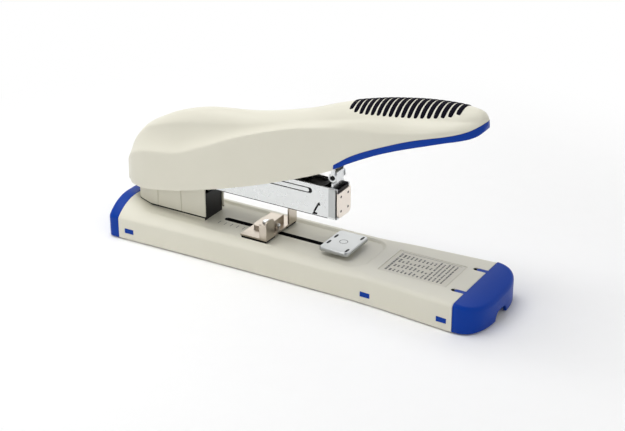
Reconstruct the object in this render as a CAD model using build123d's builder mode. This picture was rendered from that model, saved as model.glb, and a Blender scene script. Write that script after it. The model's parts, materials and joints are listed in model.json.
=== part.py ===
from build123d import *
import os
from math import cos, radians, sin, tan

# Heavy-duty desk stapler, in millimetres. +X is the front, +Z is up, and the
# origin lies under the middle of the base, on the surface that it stands on.
os.makedirs("parts", exist_ok=True)

# Base
BASE_LENGTH = 294.0
BASE_FRONT_HALF = 35.0
WAIST_NARROWING = 5.0
REAR_NARROWING = 1.8
WAIST_BEHIND_SEAM = 83.0
BASE_WALL = 2.5
FRONT_CAP_LENGTH = 19.0
REAR_CAP_LENGTH = 9.5
CAP_WALL = 2.2
CAP_CORNER = 13.0
CAP_BOW = 2.2
CAP_TOP_ROUND = 2.4
CAP_TOP_DROP = 4.3
FOOT_STANDOFF = 0.8
PLATEAU_Z = 20.8
FLOOR_Z = 19.0
FLOOR_THICKNESS = 2.4
FRONT_RIDGE_Z = 18.6
REAR_RIDGE_Z = 15.8
TAIL_TOP_Z = 26.6
FRONT_BEVEL = 3.4
TAIL_LENGTH = 20.0
TAIL_SHOULDER = 23.2
TRAY_HALF = 21.5
TRAY_BEHIND_SEAM = 75.0
TRAY_REAR_GAP = 4.0
TRAY_CORNER = 7.0
TRAY_DRAFT = 28.0

# Caps, cover and small base fittings
TONGUE_Y = 16.8
TONGUE_WIDTH = 3.0
TONGUE_LENGTH = 8.6
TONGUE_THICKNESS = 1.4
NOTCH_HALF = 8.5
NOTCH_HEIGHT = 6.0
COVER_THICKNESS = 2.0
COVER_CLEARANCE = 0.2
TABS_BEHIND_SEAM = (8.8, 66.6)
TAB_AHEAD_OF_SEAM = 9.0
TAB_LENGTH = 7.6
TAB_HEIGHT = 3.8
TAB_Z = 7.2
TAB_PROUD = 0.15
TAB_POST = 1.6
FOOT_RADIUS = 6.0
FOOT_SEAT = 0.8
FOOT_FROM_SEAM = (19.5, 15.8)
FOOT_FROM_EDGE = (16.2, 14.0)
SCREW_RADIUS = 1.6
SCREW_HEAD_RADIUS = 3.0
SCREW_HEAD_HEIGHT = 1.2
SCREW_BITE = 7.0
COVER_BOSS_RADIUS = 3.6
COVER_SCREW_FROM_SEAM = (25.5, 35.8)
COVER_SCREW_FROM_EDGE = (8.7, 13.0)
LABEL_BEHIND_SEAM = 39.8
LABEL_LENGTH = 50.0
LABEL_HALF = 16.6
LABEL_RECESS = 0.5
LABEL_THICKNESS = 0.4
LABEL_MARGIN = 0.4
MARK_DEPTH = 0.3
MARK_WIDTH = 0.5
MARK_LENGTH = 4.0
MARK_COUNT = 7
MARK_PITCH = 5.0
MARK_Y = -7.0

# Chassis and hinge
CHASSIS_THICKNESS = 1.5
CHASSIS_HALF = 15.0
CHASSIS_BEHIND_PIVOT = 14.0
CHASSIS_PAST_ANVIL = 18.0
PIVOT_FROM_REAR = 35.0
PIVOT_Z = 62.0
PIN_RADIUS = 4.0
PIN_CLEARANCE = 0.05
RING_THICKNESS = 0.9
RING_RADIUS = 6.2
BRACKET_THICKNESS = 1.5
BRACKET_FOOT_REAR = 14.0
BRACKET_FOOT_FRONT = 28.0
BRACKET_EYE = 9.0
BRACKET_SCREW_PITCH = 34.0
BRACKET_SCREW_Y = 5.0
PEDESTAL_BEHIND_PIVOT = 21.8
PEDESTAL_PAST_PIVOT = 35.4
PEDESTAL_TOP_Z = 46.0
PEDESTAL_GAP = 3.4
PEDESTAL_WALL = 1.2
PEDESTAL_SKIRT = 0.6
PEDESTAL_LINES_AT = (-5.0, 15.0)
SIDE_GAP = 0.4

# Motion of the handle, magazine and driver
SWING_DEG = 7.4
DRIVE_DEG = 8.3

# Magazine
MAG_HALF = 8.5
MAG_WALL = 1.2
MAG_BOTTOM_DROP = 18.0
MAG_HEIGHT = 22.5
MAG_REAR = 13.0
MAG_EYE = 8.5
FACE_AT = 140.8
FACE_THICKNESS = 1.4
FACE_FLANGE = 0.5
FACE_FLANGE_LENGTH = 6.4
FACE_CORNER = 3.0
FACE_RIVET_RADIUS = 0.9
FACE_RIVET_Y = 5.0
FACE_RIVET_LOW = 8.0
FACE_RIVET_HIGH = 18.5
FACE_NOTCH_HALF = 4.0
FACE_NOTCH_DEPTH = 2.2
EMBOSS_DEPTH = 0.4
EMBOSS_HEIGHT = 4.2
EMBOSS_AT = (54.0, 120.5)
EMBOSS_UP = 17.4
LANCE_LOW = (122.0, 2.6)
LANCE_HIGH = (125.8, 9.8)
LANCE_WIDTH = 1.3
RAIL_HALF = 5.0
RAIL_HEIGHT = 10.8
RAIL_REAR_AT = 40.0
ROD_RADIUS = 1.5
ROD_UP = 17.3
ROD_REAR_AT = 38.0
ROD_BRACKET_BEHIND_DRIVER = 5.8
ROD_BRACKET_LENGTH = 3.0
REAR_STOP_THICKNESS = 2.0
PUSHER_LENGTH = 13.5
PUSHER_NOSE = 4.2
PUSHER_CLEARANCE = 0.3
PUSHER_SPRING_WIRE = 0.6
DRIVER_SET_BACK = 4.2
DRIVER_THICKNESS = 1.4
DRIVER_SLOT_CLEARANCE = 0.1
DRIVER_PIN_RADIUS = 1.5
DRIVER_PIN_UP = 29.3
CARRIER_HALF = 4.8
CARRIER_HEIGHT = 7.6
CARRIER_LENGTH = 4.2
HEAD_GUIDE_HEIGHT = 4.2
HEAD_GUIDE_BEHIND = 2.6

# Handle
HANDLE_WALL = 2.4
LONGEST_STRETCH = 20.0
OPEN_BELOW = 6.0
TIP_SOLID = 14.0
TRIM_REAR = 142.0
TRIM_FLOOR = 2.0
LEVER_THICKNESS = 1.8
LEVER_INNER_HALF = 12.4
LEVER_EYE = 8.6
LEVER_WEB_REAR = 13.0
LEVER_FRONT = 141.4
LEVER_RISE_DEG = 11.6
LEVER_WEB_UP = 5.6
LEVER_ARM_DEPTH = 7.0
YOKE_THICKNESS = 1.5
YOKE_LEG_HALF = 1.3
YOKE_EYE = 3.1
YOKE_PLAY = 0.3
YOKE_TOP_LENGTH = 12.0
YOKE_SIDE_GAP = 0.5
YOKE_RIVET_RADIUS = 1.5
YOKE_RIVET_HEAD = 2.5
YOKE_RIVET_Y = 2.6
HANDLE_BOSS_RADIUS = 4.5
HANDLE_BOSS_AT = (52.0, 108.0)
HANDLE_SCREW_BITE = 8.0
RETURN_SPRING_AT = 26.0
RETURN_SPRING_RADIUS = 5.0
RETURN_SPRING_WIRE = 1.0
LIFT_SPRING_BORE = 4.3
LIFT_SPRING_WIRE = 1.1
LIFT_SPRING_HALF = 4.5
LIFT_SPRING_LEG = 20.0
GRIP_REAR = 151.5
GRIP_RIBS = 17
GRIP_PITCH = 4.57
GRIP_RIB_WIDTH = 3.1
GRIP_HALF = 14.2
GRIP_PROUD = 0.5
GRIP_LENS = 1.28

# Anvil
ANVIL_LENGTH = 22.5
ANVIL_WIDTH = 30.4
ANVIL_THICKNESS = 2.5
ANVIL_TOP_Z = 25.0
ANVIL_CORNER = 3.0
ANVIL_BEVEL = 0.6
ANVIL_GROOVE_BACK = 8.6
ANVIL_GROOVE_DEPTH = 0.8
ANVIL_GROOVE_WIDTH = 1.7
ANVIL_GROOVE_LENGTH = 5.6
ANVIL_INNER_Y = 5.0
ANVIL_OUTER_Y = 10.6
ANVIL_POST_RADIUS = 2.6
ANVIL_COLLAR_RADIUS = 6.0
ANVIL_SPRING_THICKNESS = 1.2
ANVIL_CLIP_THICKNESS = 1.2
RUNNING_GAP = 0.05

# Depth guide
GUIDE_STOP_AT = 91.0
GUIDE_SLOT_AT = (44.0, 125.0)
GUIDE_SLOT_WIDTH = 4.6
GUIDE_FOOT_LENGTH = 21.0
GUIDE_FOOT_HALF = 20.0
GUIDE_FOOT_LIFT = 1.8
GUIDE_SHEET = 1.2
GUIDE_STOP_INNER = 9.8
GUIDE_STOP_HEIGHT = 13.0
GUIDE_NECK_LENGTH = 14.0
GUIDE_NECK_BACK = 12.0
GUIDE_RUNNER_HALF = 7.0
GUIDE_KEEPER_HALF = 6.0
GUIDE_KEEPER_THICKNESS = 1.6
GUIDE_CLAMP_HALF = 8.0
GUIDE_CLAMP_HEIGHT = 2.4
GUIDE_RIVET_RADIUS = 1.9
GUIDE_BALL_RADIUS = 1.5
GUIDE_STUD_RADIUS = 0.8
GUIDE_STUD_BACK = 2.6
GUIDE_STUD_HEIGHT = 2.4
GUIDE_STOP_CORNER = 3.0

# Levels and places that follow from the sizes above
FRONT_X = BASE_LENGTH / 2
REAR_X = -BASE_LENGTH / 2
FRONT_SEAM_X = FRONT_X - FRONT_CAP_LENGTH
REAR_SEAM_X = REAR_X + REAR_CAP_LENGTH
BASE_WAIST_HALF = BASE_FRONT_HALF - WAIST_NARROWING
BASE_REAR_HALF = BASE_FRONT_HALF - REAR_NARROWING
WAIST_X = FRONT_SEAM_X - WAIST_BEHIND_SEAM
TRAY_FRONT_X = FRONT_SEAM_X - TRAY_BEHIND_SEAM
TAB_XS = (REAR_SEAM_X + TAB_AHEAD_OF_SEAM,) + tuple(FRONT_SEAM_X - x for x in TABS_BEHIND_SEAM)
FOOT_PLACES = (
    (REAR_SEAM_X + FOOT_FROM_SEAM[0], BASE_REAR_HALF - FOOT_FROM_EDGE[0]),
    (FRONT_SEAM_X - FOOT_FROM_SEAM[1], BASE_FRONT_HALF - FOOT_FROM_EDGE[1]),
)
COVER_SCREW_PLACES = (
    (REAR_SEAM_X + COVER_SCREW_FROM_SEAM[0], BASE_REAR_HALF - COVER_SCREW_FROM_EDGE[0]),
    (FRONT_SEAM_X - COVER_SCREW_FROM_SEAM[1], BASE_FRONT_HALF - COVER_SCREW_FROM_EDGE[1]),
)
LABEL_CENTRE_X = FRONT_SEAM_X - LABEL_BEHIND_SEAM
PIVOT_X = REAR_X + PIVOT_FROM_REAR
CHASSIS_REAR_X = PIVOT_X - CHASSIS_BEHIND_PIVOT
PEDESTAL_REAR_X = PIVOT_X - PEDESTAL_BEHIND_PIVOT
PEDESTAL_FRONT_X = PIVOT_X + PEDESTAL_PAST_PIVOT
FACE_X = PIVOT_X + FACE_AT
EMBOSS_REAR, EMBOSS_FRONT = (PIVOT_X + ahead for ahead in EMBOSS_AT)
RAIL_REAR_X = PIVOT_X + RAIL_REAR_AT
ROD_REAR_X = PIVOT_X + ROD_REAR_AT
GUIDE_STOP_X = PIVOT_X + GUIDE_STOP_AT
GUIDE_SLOT_REAR, GUIDE_SLOT_FRONT = (PIVOT_X + ahead for ahead in GUIDE_SLOT_AT)
CEILING_Z = FLOOR_Z - FLOOR_THICKNESS
CHASSIS_Z = CEILING_Z - CHASSIS_THICKNESS
COVER_TOP_Z = FOOT_STANDOFF + COVER_THICKNESS
TRAY_REAR_X = REAR_SEAM_X + TRAY_REAR_GAP
MAG_BOTTOM_Z = PIVOT_Z - MAG_BOTTOM_DROP
MAG_TOP_Z = MAG_BOTTOM_Z + MAG_HEIGHT
MAG_FLOOR_Z = MAG_BOTTOM_Z + MAG_WALL
MAG_INNER = MAG_HALF - MAG_WALL
FACE_BACK_X = FACE_X - FACE_THICKNESS
DRIVER_X = FACE_BACK_X - DRIVER_SET_BACK
ROD_BRACKET_FRONT_X = DRIVER_X - ROD_BRACKET_BEHIND_DRIVER
DRIVER_PIN_Z = MAG_BOTTOM_Z + DRIVER_PIN_UP
DRIVER_ARM = DRIVER_X - PIVOT_X
DRIVER_LIFT = DRIVER_PIN_Z - PIVOT_Z
DRIVER_STROKE = (
    DRIVER_LIFT + DRIVER_ARM * tan(radians(DRIVE_DEG)) - DRIVER_LIFT / cos(radians(DRIVE_DEG))
)
HALF_DRIVE = radians(DRIVE_DEG / 2)
YOKE_DRIFT = DRIVER_ARM * (1 - cos(HALF_DRIVE)) + (DRIVER_LIFT - DRIVER_STROKE / 2) * sin(HALF_DRIVE)
YOKE_OUTER = MAG_INNER - YOKE_SIDE_GAP
BRACKET_INNER = MAG_HALF + SIDE_GAP
BRACKET_OUTER = BRACKET_INNER + BRACKET_THICKNESS
PEDESTAL_INNER = BRACKET_OUTER + SIDE_GAP
PEDESTAL_OUTER = PEDESTAL_INNER + PEDESTAL_WALL
LEVER_OUTER_HALF = LEVER_INNER_HALF + LEVER_THICKNESS
PIN_HALF = LEVER_OUTER_HALF + SIDE_GAP + RING_THICKNESS + SIDE_GAP
CLOSED_DRIVER_X = (
    PIVOT_X
    + DRIVER_ARM * cos(radians(SWING_DEG))
    - (PIVOT_Z - ANVIL_TOP_Z) * sin(radians(SWING_DEG)) / 2
)
ANVIL_X = CLOSED_DRIVER_X + ANVIL_GROOVE_BACK
CHASSIS_FRONT_X = ANVIL_X + CHASSIS_PAST_ANVIL
ANVIL_UNDER_Z = ANVIL_TOP_Z - ANVIL_THICKNESS
GUIDE_FOOT_Z = FLOOR_Z + GUIDE_FOOT_LIFT
GUIDE_SLOT_MID = (GUIDE_SLOT_REAR + GUIDE_SLOT_FRONT) / 2
GUIDE_SLOT_LENGTH = GUIDE_SLOT_FRONT - GUIDE_SLOT_REAR


def smooth(x, points):
    """Height of a smooth line through points, level where the points turn back."""
    if x <= points[0][0]:
        return points[0][1]
    if x >= points[-1][0]:
        return points[-1][1]
    steps = [
        (after[1] - before[1]) / (after[0] - before[0])
        for before, after in zip(points, points[1:])
    ]
    slopes = [steps[0]]
    for left, right in zip(steps, steps[1:]):
        slopes.append(0.0 if left * right <= 0 else 2 * left * right / (left + right))
    slopes.append(steps[-1])
    index = max(i for i in range(len(steps)) if points[i][0] <= x)
    (x0, y0), (x1, y1) = points[index], points[index + 1]
    span = x1 - x0
    t = (x - x0) / span
    start = (1 + 2 * t) * (1 - t) ** 2 * y0 + t * (1 - t) ** 2 * span * slopes[index]
    end = t * t * (3 - 2 * t) * y1 + t * t * (t - 1) * span * slopes[index + 1]
    return start + end


def block(x, y, z, mode=Mode.ADD):
    """Box between low and high limits along each axis."""
    with Locations(((x[0] + x[1]) / 2, (y[0] + y[1]) / 2, (z[0] + z[1]) / 2)):
        Box(x[1] - x[0], y[1] - y[0], z[1] - z[0], mode=mode)


def post(x, y, z, radius, mode=Mode.ADD):
    """Upright cylinder between two heights."""
    with Locations((x, y, (z[0] + z[1]) / 2)):
        Cylinder(radius, z[1] - z[0], mode=mode)


def cross_bar(x, y, z, radius, mode=Mode.ADD):
    """Cylinder across the object, between two y limits."""
    with Locations(Location((x, (y[0] + y[1]) / 2, z), (90, 0, 0))):
        Cylinder(radius, y[1] - y[0], mode=mode)


def long_bar(x, y, z, radius, mode=Mode.ADD):
    """Cylinder along the object, between two x limits."""
    with Locations(Location(((x[0] + x[1]) / 2, y, z), (0, 90, 0))):
        Cylinder(radius, x[1] - x[0], mode=mode)


def both_sides(places):
    """The places, with each repeated on the other side of the middle plane."""
    return [(x, side * y) for x, y in places for side in (-1, 1)]


def keep(part_builder, name):
    """Name a finished piece and write it out."""
    part_builder.part.label = name
    export_step(part_builder.part, f"parts/{name}.step")


# Form of the base along its length
HALF_LINE = (
    (REAR_SEAM_X, BASE_REAR_HALF),
    (PIVOT_X + 46.0, BASE_WAIST_HALF + 1.2),
    (WAIST_X, BASE_WAIST_HALF),
    (FRONT_SEAM_X, BASE_FRONT_HALF),
)
RIDGE_LINE = (
    (REAR_SEAM_X, REAR_RIDGE_Z),
    (WAIST_X - 45.0, REAR_RIDGE_Z + 1.4),
    (WAIST_X - 7.0, REAR_RIDGE_Z + 1.7),
    (WAIST_X + 27.0, FRONT_RIDGE_Z),
    (FRONT_SEAM_X, FRONT_RIDGE_Z),
)
RIM_TOP_LINE = (
    (REAR_SEAM_X, TAIL_TOP_Z),
    (REAR_SEAM_X + TAIL_LENGTH * 0.4, (TAIL_TOP_Z + PLATEAU_Z) / 2),
    (REAR_SEAM_X + TAIL_LENGTH, PLATEAU_Z),
    (FRONT_SEAM_X, PLATEAU_Z),
)
RIM_INNER_LINE = (
    (REAR_SEAM_X, BASE_REAR_HALF - TAIL_SHOULDER),
    (REAR_SEAM_X + TAIL_LENGTH * 0.4, BASE_REAR_HALF - TAIL_SHOULDER * 0.74),
    (REAR_SEAM_X + TAIL_LENGTH, TRAY_HALF + 1.0),
    (WAIST_X - 7.0, TRAY_HALF + 1.6),
    (WAIST_X + 29.0, BASE_WAIST_HALF + 0.6 - FRONT_BEVEL),
    (FRONT_SEAM_X, BASE_FRONT_HALF - FRONT_BEVEL),
)
SHOULDER_BULGE_LINE = (
    (REAR_SEAM_X, 2.6),
    (REAR_SEAM_X + TAIL_LENGTH, 0.7),
    (FRONT_SEAM_X, 0.5),
)
TAIL_STATIONS = tuple(REAR_SEAM_X + TAIL_LENGTH * share for share in (0, 0.2, 0.4, 0.7, 1))
WAIST_STATIONS = tuple(WAIST_X + x for x in (-78, -45, -25, -7, 1, 10, 19, 27, 45, 63))
BASE_STATIONS = TAIL_STATIONS + (PIVOT_X + 22.0, PIVOT_X + 46.0) + WAIST_STATIONS + (FRONT_SEAM_X,)


def base_section(x):
    """Outer cross-section of the base housing at one place along it."""
    half = smooth(x, HALF_LINE)
    ridge = smooth(x, RIDGE_LINE)
    rim = smooth(x, RIM_INNER_LINE)
    top = smooth(x, RIM_TOP_LINE)
    bulge = smooth(x, SHOULDER_BULGE_LINE)
    across, up = half - rim, top - ridge
    reach = (across**2 + up**2) ** 0.5
    mid = ((half + rim) / 2 + bulge * up / reach, (ridge + top) / 2 + bulge * across / reach)
    with BuildSketch(Plane.YZ.offset(x)) as section:
        with BuildLine():
            Polyline((-half, ridge), (-half, FOOT_STANDOFF), (half, FOOT_STANDOFF), (half, ridge))
            ThreePointArc((half, ridge), mid, (rim, top))
            Line((rim, top), (-rim, top))
            ThreePointArc((-rim, top), (-mid[0], mid[1]), (-half, ridge))
        make_face()
    return section.sketch


def base_hollow(x):
    """Cross-section of the hollow under the base housing."""
    half = smooth(x, HALF_LINE) - BASE_WALL
    low = smooth(x, RIDGE_LINE) - 2 * BASE_WALL
    inner = min(smooth(x, RIM_INNER_LINE), TRAY_HALF) - BASE_WALL
    with BuildSketch(Plane.YZ.offset(x)) as section:
        with BuildLine():
            Polyline(
                (-half, 0),
                (half, 0),
                (half, low),
                (inner, CEILING_Z),
                (-inner, CEILING_Z),
                (-half, low),
                close=True,
            )
        make_face()
    return section.sketch


def stations_between(low, high):
    """Places where a long form is cut, from one end to the other."""
    return [low] + [x for x in BASE_STATIONS if low + 1 < x < high - 1] + [high]


# Base housing: moulded tray, open underneath
with BuildPart() as base_housing:
    loft([base_section(x) for x in BASE_STATIONS], ruled=True)
    loft(
        [base_hollow(x) for x in stations_between(REAR_SEAM_X + BASE_WALL, FRONT_SEAM_X - BASE_WALL)],
        ruled=True,
        mode=Mode.SUBTRACT,
    )
    with BuildSketch(Plane.XY.offset(FLOOR_Z)):
        with Locations(((TRAY_REAR_X + TRAY_FRONT_X) / 2, 0)):
            RectangleRounded(TRAY_FRONT_X - TRAY_REAR_X, 2 * TRAY_HALF, TRAY_CORNER)
    extrude(amount=TAIL_TOP_Z - FLOOR_Z + 1, taper=-TRAY_DRAFT, mode=Mode.SUBTRACT)
    for x, y in both_sides(COVER_SCREW_PLACES):
        post(x, y, (COVER_TOP_Z, CEILING_Z - 1), COVER_BOSS_RADIUS)
        post(x, y, (COVER_TOP_Z, COVER_TOP_Z + SCREW_BITE), SCREW_RADIUS, Mode.SUBTRACT)
    with BuildSketch(Plane.XY.offset(FLOOR_Z)):
        with Locations((GUIDE_SLOT_MID, 0)):
            SlotOverall(GUIDE_SLOT_LENGTH, GUIDE_SLOT_WIDTH)
    extrude(amount=-FLOOR_THICKNESS, mode=Mode.SUBTRACT)
    post(
        ANVIL_X, 0, (CEILING_Z, FLOOR_Z), ANVIL_POST_RADIUS + PIN_CLEARANCE, Mode.SUBTRACT
    )
    bracket_holes = both_sides(
        [
            (PIVOT_X + BRACKET_FOOT_FRONT / 4 + step * BRACKET_SCREW_PITCH / 2, BRACKET_SCREW_Y)
            for step in (-1, 1)
        ]
    )
    for x, y in bracket_holes:
        post(x, y, (CEILING_Z, FLOOR_Z), SCREW_RADIUS, Mode.SUBTRACT)
    block(
        (LABEL_CENTRE_X - LABEL_LENGTH / 2, LABEL_CENTRE_X + LABEL_LENGTH / 2),
        (-LABEL_HALF, LABEL_HALF),
        (PLATEAU_Z - LABEL_RECESS, PLATEAU_Z + 1),
        Mode.SUBTRACT,
    )
    for side in (-1, 1):
        block(
            (FRONT_SEAM_X - TONGUE_LENGTH, FRONT_SEAM_X),
            (side * TONGUE_Y - TONGUE_WIDTH / 2, side * TONGUE_Y + TONGUE_WIDTH / 2),
            (PLATEAU_Z - TONGUE_THICKNESS, PLATEAU_Z + 1),
            Mode.SUBTRACT,
        )
        for x in TAB_XS:
            half = smooth(x, HALF_LINE)
            block(
                (x - TAB_LENGTH / 2, x + TAB_LENGTH / 2),
                sorted((side * (half - 2 * BASE_WALL), side * (half + BASE_WALL))),
                (TAB_Z - TAB_HEIGHT / 2, TAB_Z + TAB_HEIGHT / 2),
                Mode.SUBTRACT,
            )
    for step in range(MARK_COUNT):
        x = GUIDE_SLOT_REAR + step * MARK_PITCH
        block(
            (x - MARK_WIDTH / 2, x + MARK_WIDTH / 2),
            (MARK_Y - MARK_LENGTH / 2, MARK_Y + MARK_LENGTH / 2),
            (FLOOR_Z - MARK_DEPTH, FLOOR_Z + 1),
            Mode.SUBTRACT,
        )
keep(base_housing, "base_housing")

# Front end cap, with two tongues that lie in slots of the housing
with BuildPart() as front_cap:
    with BuildSketch(Plane.XY.offset(FOOT_STANDOFF)) as cap_plan:
        with BuildLine():
            corner_x = FRONT_X - CAP_BOW
            Polyline(
                (corner_x, -BASE_FRONT_HALF),
                (FRONT_SEAM_X, -BASE_FRONT_HALF),
                (FRONT_SEAM_X, BASE_FRONT_HALF),
                (corner_x, BASE_FRONT_HALF),
            )
            ThreePointArc((corner_x, BASE_FRONT_HALF), (FRONT_X, 0), (corner_x, -BASE_FRONT_HALF))
        make_face()
        fillet(cap_plan.vertices().group_by(Axis.X)[-1], CAP_CORNER)
    extrude(amount=PLATEAU_Z - FOOT_STANDOFF)
    with BuildSketch(Plane.XZ):
        with BuildLine():
            Polyline(
                (FRONT_SEAM_X, PLATEAU_Z),
                (FRONT_X, PLATEAU_Z - CAP_TOP_DROP),
                (FRONT_X, PLATEAU_Z),
                close=True,
            )
        make_face()
    extrude(amount=BASE_FRONT_HALF, both=True, mode=Mode.SUBTRACT)
    rim_edges = front_cap.faces().sort_by(Axis.Z)[-1].edges().sort_by(Axis.X)[1:]
    fillet(rim_edges, CAP_TOP_ROUND)
    with BuildSketch(Plane.XY.offset(FOOT_STANDOFF)) as cap_room:
        add(cap_plan.sketch)
        offset(amount=-CAP_WALL)
    extrude(amount=PLATEAU_Z - CAP_TOP_DROP - CAP_WALL - FOOT_STANDOFF, mode=Mode.SUBTRACT)
    with BuildSketch(Plane.YZ.offset(FRONT_X - CAP_CORNER)):
        with Locations((0, FOOT_STANDOFF)):
            SlotOverall(2 * NOTCH_HALF, 2 * NOTCH_HEIGHT)
    extrude(amount=2 * CAP_CORNER, mode=Mode.SUBTRACT)
    for side in (-1, 1):
        block(
            (FRONT_SEAM_X - TONGUE_LENGTH + COVER_CLEARANCE, FRONT_SEAM_X + CAP_WALL),
            (
                side * TONGUE_Y - TONGUE_WIDTH / 2 + COVER_CLEARANCE,
                side * TONGUE_Y + TONGUE_WIDTH / 2 - COVER_CLEARANCE,
            ),
            (PLATEAU_Z - TONGUE_THICKNESS, PLATEAU_Z - 2 * COVER_CLEARANCE),
        )
keep(front_cap, "front_cap")

# Rear end cap, arched like the tail of the housing
with BuildPart() as rear_cap:
    extrude(base_section(REAR_SEAM_X), amount=-REAR_CAP_LENGTH)
    with BuildSketch() as tail_plan:
        with BuildLine():
            corner_x = REAR_X + CAP_BOW
            Polyline(
                (corner_x, -BASE_REAR_HALF),
                (REAR_SEAM_X, -BASE_REAR_HALF),
                (REAR_SEAM_X, BASE_REAR_HALF),
                (corner_x, BASE_REAR_HALF),
            )
            ThreePointArc((corner_x, BASE_REAR_HALF), (REAR_X, 0), (corner_x, -BASE_REAR_HALF))
        make_face()
        fillet(tail_plan.vertices().group_by(Axis.X)[0], REAR_CAP_LENGTH - CAP_BOW - 1)
    extrude(amount=2 * TAIL_TOP_Z, mode=Mode.INTERSECT)
    block(
        (REAR_X + 2 * CAP_WALL, REAR_SEAM_X),
        (CAP_BOW - BASE_REAR_HALF + REAR_CAP_LENGTH, BASE_REAR_HALF - REAR_CAP_LENGTH - CAP_BOW),
        (FOOT_STANDOFF, REAR_RIDGE_Z - CAP_WALL),
        Mode.SUBTRACT,
    )
keep(rear_cap, "rear_cap")


def cover_section(x):
    """Cross-section of the bottom cover, inside the housing's walls."""
    half = smooth(x, HALF_LINE) - BASE_WALL - COVER_CLEARANCE
    with BuildSketch(Plane.YZ.offset(x)) as section:
        with Locations((0, FOOT_STANDOFF + COVER_THICKNESS / 2)):
            Rectangle(2 * half, COVER_THICKNESS)
    return section.sketch


# Bottom cover, held by tabs in the housing's side windows
with BuildPart() as bottom_cover:
    inset = BASE_WALL + COVER_CLEARANCE
    cover_stations = stations_between(REAR_SEAM_X + inset, FRONT_SEAM_X - inset)
    loft([cover_section(x) for x in cover_stations], ruled=True)
    for side in (-1, 1):
        for x in TAB_XS:
            half = smooth(x, HALF_LINE)
            length = (x - TAB_LENGTH / 2 + COVER_CLEARANCE, x + TAB_LENGTH / 2 - COVER_CLEARANCE)
            inner = half - BASE_WALL - 3 * COVER_CLEARANCE
            block(
                length,
                sorted((side * (inner - TAB_POST), side * inner)),
                (FOOT_STANDOFF, TAB_Z + TAB_HEIGHT / 2 - COVER_CLEARANCE),
            )
            block(
                length,
                sorted((side * (inner - TAB_POST), side * (half + TAB_PROUD))),
                (
                    TAB_Z - TAB_HEIGHT / 2 + COVER_CLEARANCE,
                    TAB_Z + TAB_HEIGHT / 2 - COVER_CLEARANCE,
                ),
            )
    for x, y in both_sides(FOOT_PLACES):
        post(x, y, (0, FOOT_STANDOFF + FOOT_SEAT), FOOT_RADIUS, Mode.SUBTRACT)
    for x, y in both_sides(COVER_SCREW_PLACES):
        post(x, y, (0, COVER_TOP_Z), SCREW_RADIUS, Mode.SUBTRACT)
        post(x, y, (0, FOOT_STANDOFF + SCREW_HEAD_HEIGHT), SCREW_HEAD_RADIUS, Mode.SUBTRACT)
keep(bottom_cover, "bottom_cover")

# Rubber feet
with BuildPart() as rubber_feet:
    for x, y in both_sides(FOOT_PLACES):
        post(x, y, (0, FOOT_STANDOFF + FOOT_SEAT), FOOT_RADIUS)
keep(rubber_feet, "rubber_feet")

# Screws that hold the bottom cover
with BuildPart() as cover_screws:
    for x, y in both_sides(COVER_SCREW_PLACES):
        post(x, y, (FOOT_STANDOFF, FOOT_STANDOFF + SCREW_HEAD_HEIGHT), SCREW_HEAD_RADIUS)
        post(x, y, (FOOT_STANDOFF, COVER_TOP_Z + SCREW_BITE), SCREW_RADIUS)
keep(cover_screws, "cover_screws")

# Label panel in its recess
with BuildPart() as label_panel:
    block(
        (
            LABEL_CENTRE_X - LABEL_LENGTH / 2 + LABEL_MARGIN,
            LABEL_CENTRE_X + LABEL_LENGTH / 2 - LABEL_MARGIN,
        ),
        (-LABEL_HALF + LABEL_MARGIN, LABEL_HALF - LABEL_MARGIN),
        (PLATEAU_Z - LABEL_RECESS, PLATEAU_Z - LABEL_RECESS + LABEL_THICKNESS),
    )
keep(label_panel, "label_panel")

# Steel chassis plate under the tray
with BuildPart() as chassis_plate:
    block((CHASSIS_REAR_X, CHASSIS_FRONT_X), (-CHASSIS_HALF, CHASSIS_HALF), (CHASSIS_Z, CEILING_Z))
    with BuildSketch(Plane.XY.offset(CHASSIS_Z)):
        with Locations((GUIDE_SLOT_MID, 0)):
            SlotOverall(GUIDE_SLOT_LENGTH, GUIDE_SLOT_WIDTH)
        with Locations((ANVIL_X, 0)):
            Circle(ANVIL_POST_RADIUS + PIN_CLEARANCE)
        with Locations(bracket_holes):
            Circle(SCREW_RADIUS)
    extrude(amount=CHASSIS_THICKNESS, mode=Mode.SUBTRACT)
keep(chassis_plate, "chassis_plate")

# Hinge bracket: two cheeks on a foot, screwed through the floor to the chassis
with BuildPart() as hinge_bracket:
    foot = (PIVOT_X - BRACKET_FOOT_REAR, PIVOT_X + BRACKET_FOOT_FRONT)
    with BuildSketch(Plane.XZ):
        with BuildLine():
            Polyline(
                (foot[0], FLOOR_Z),
                (foot[1], FLOOR_Z),
                (PIVOT_X + BRACKET_EYE, PIVOT_Z),
                (PIVOT_X - BRACKET_EYE, PIVOT_Z),
                close=True,
            )
        make_face()
        with Locations((PIVOT_X, PIVOT_Z)):
            Circle(BRACKET_EYE)
            Circle(PIN_RADIUS, mode=Mode.SUBTRACT)
    extrude(amount=BRACKET_OUTER, both=True)
    block(
        (foot[0] - 1, foot[1] + 1),
        (-BRACKET_INNER, BRACKET_INNER),
        (FLOOR_Z + BRACKET_THICKNESS, PIVOT_Z + 2 * BRACKET_EYE),
        Mode.SUBTRACT,
    )
    for x, y in bracket_holes:
        post(x, y, (FLOOR_Z, FLOOR_Z + BRACKET_THICKNESS), SCREW_RADIUS, Mode.SUBTRACT)
keep(hinge_bracket, "hinge_bracket")

# Bracket screws
with BuildPart() as bracket_screws:
    seat = FLOOR_Z + BRACKET_THICKNESS
    for x, y in bracket_holes:
        post(x, y, (seat, seat + SCREW_HEAD_HEIGHT), SCREW_HEAD_RADIUS)
        post(x, y, (CHASSIS_Z, seat), SCREW_RADIUS)
keep(bracket_screws, "bracket_screws")

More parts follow.
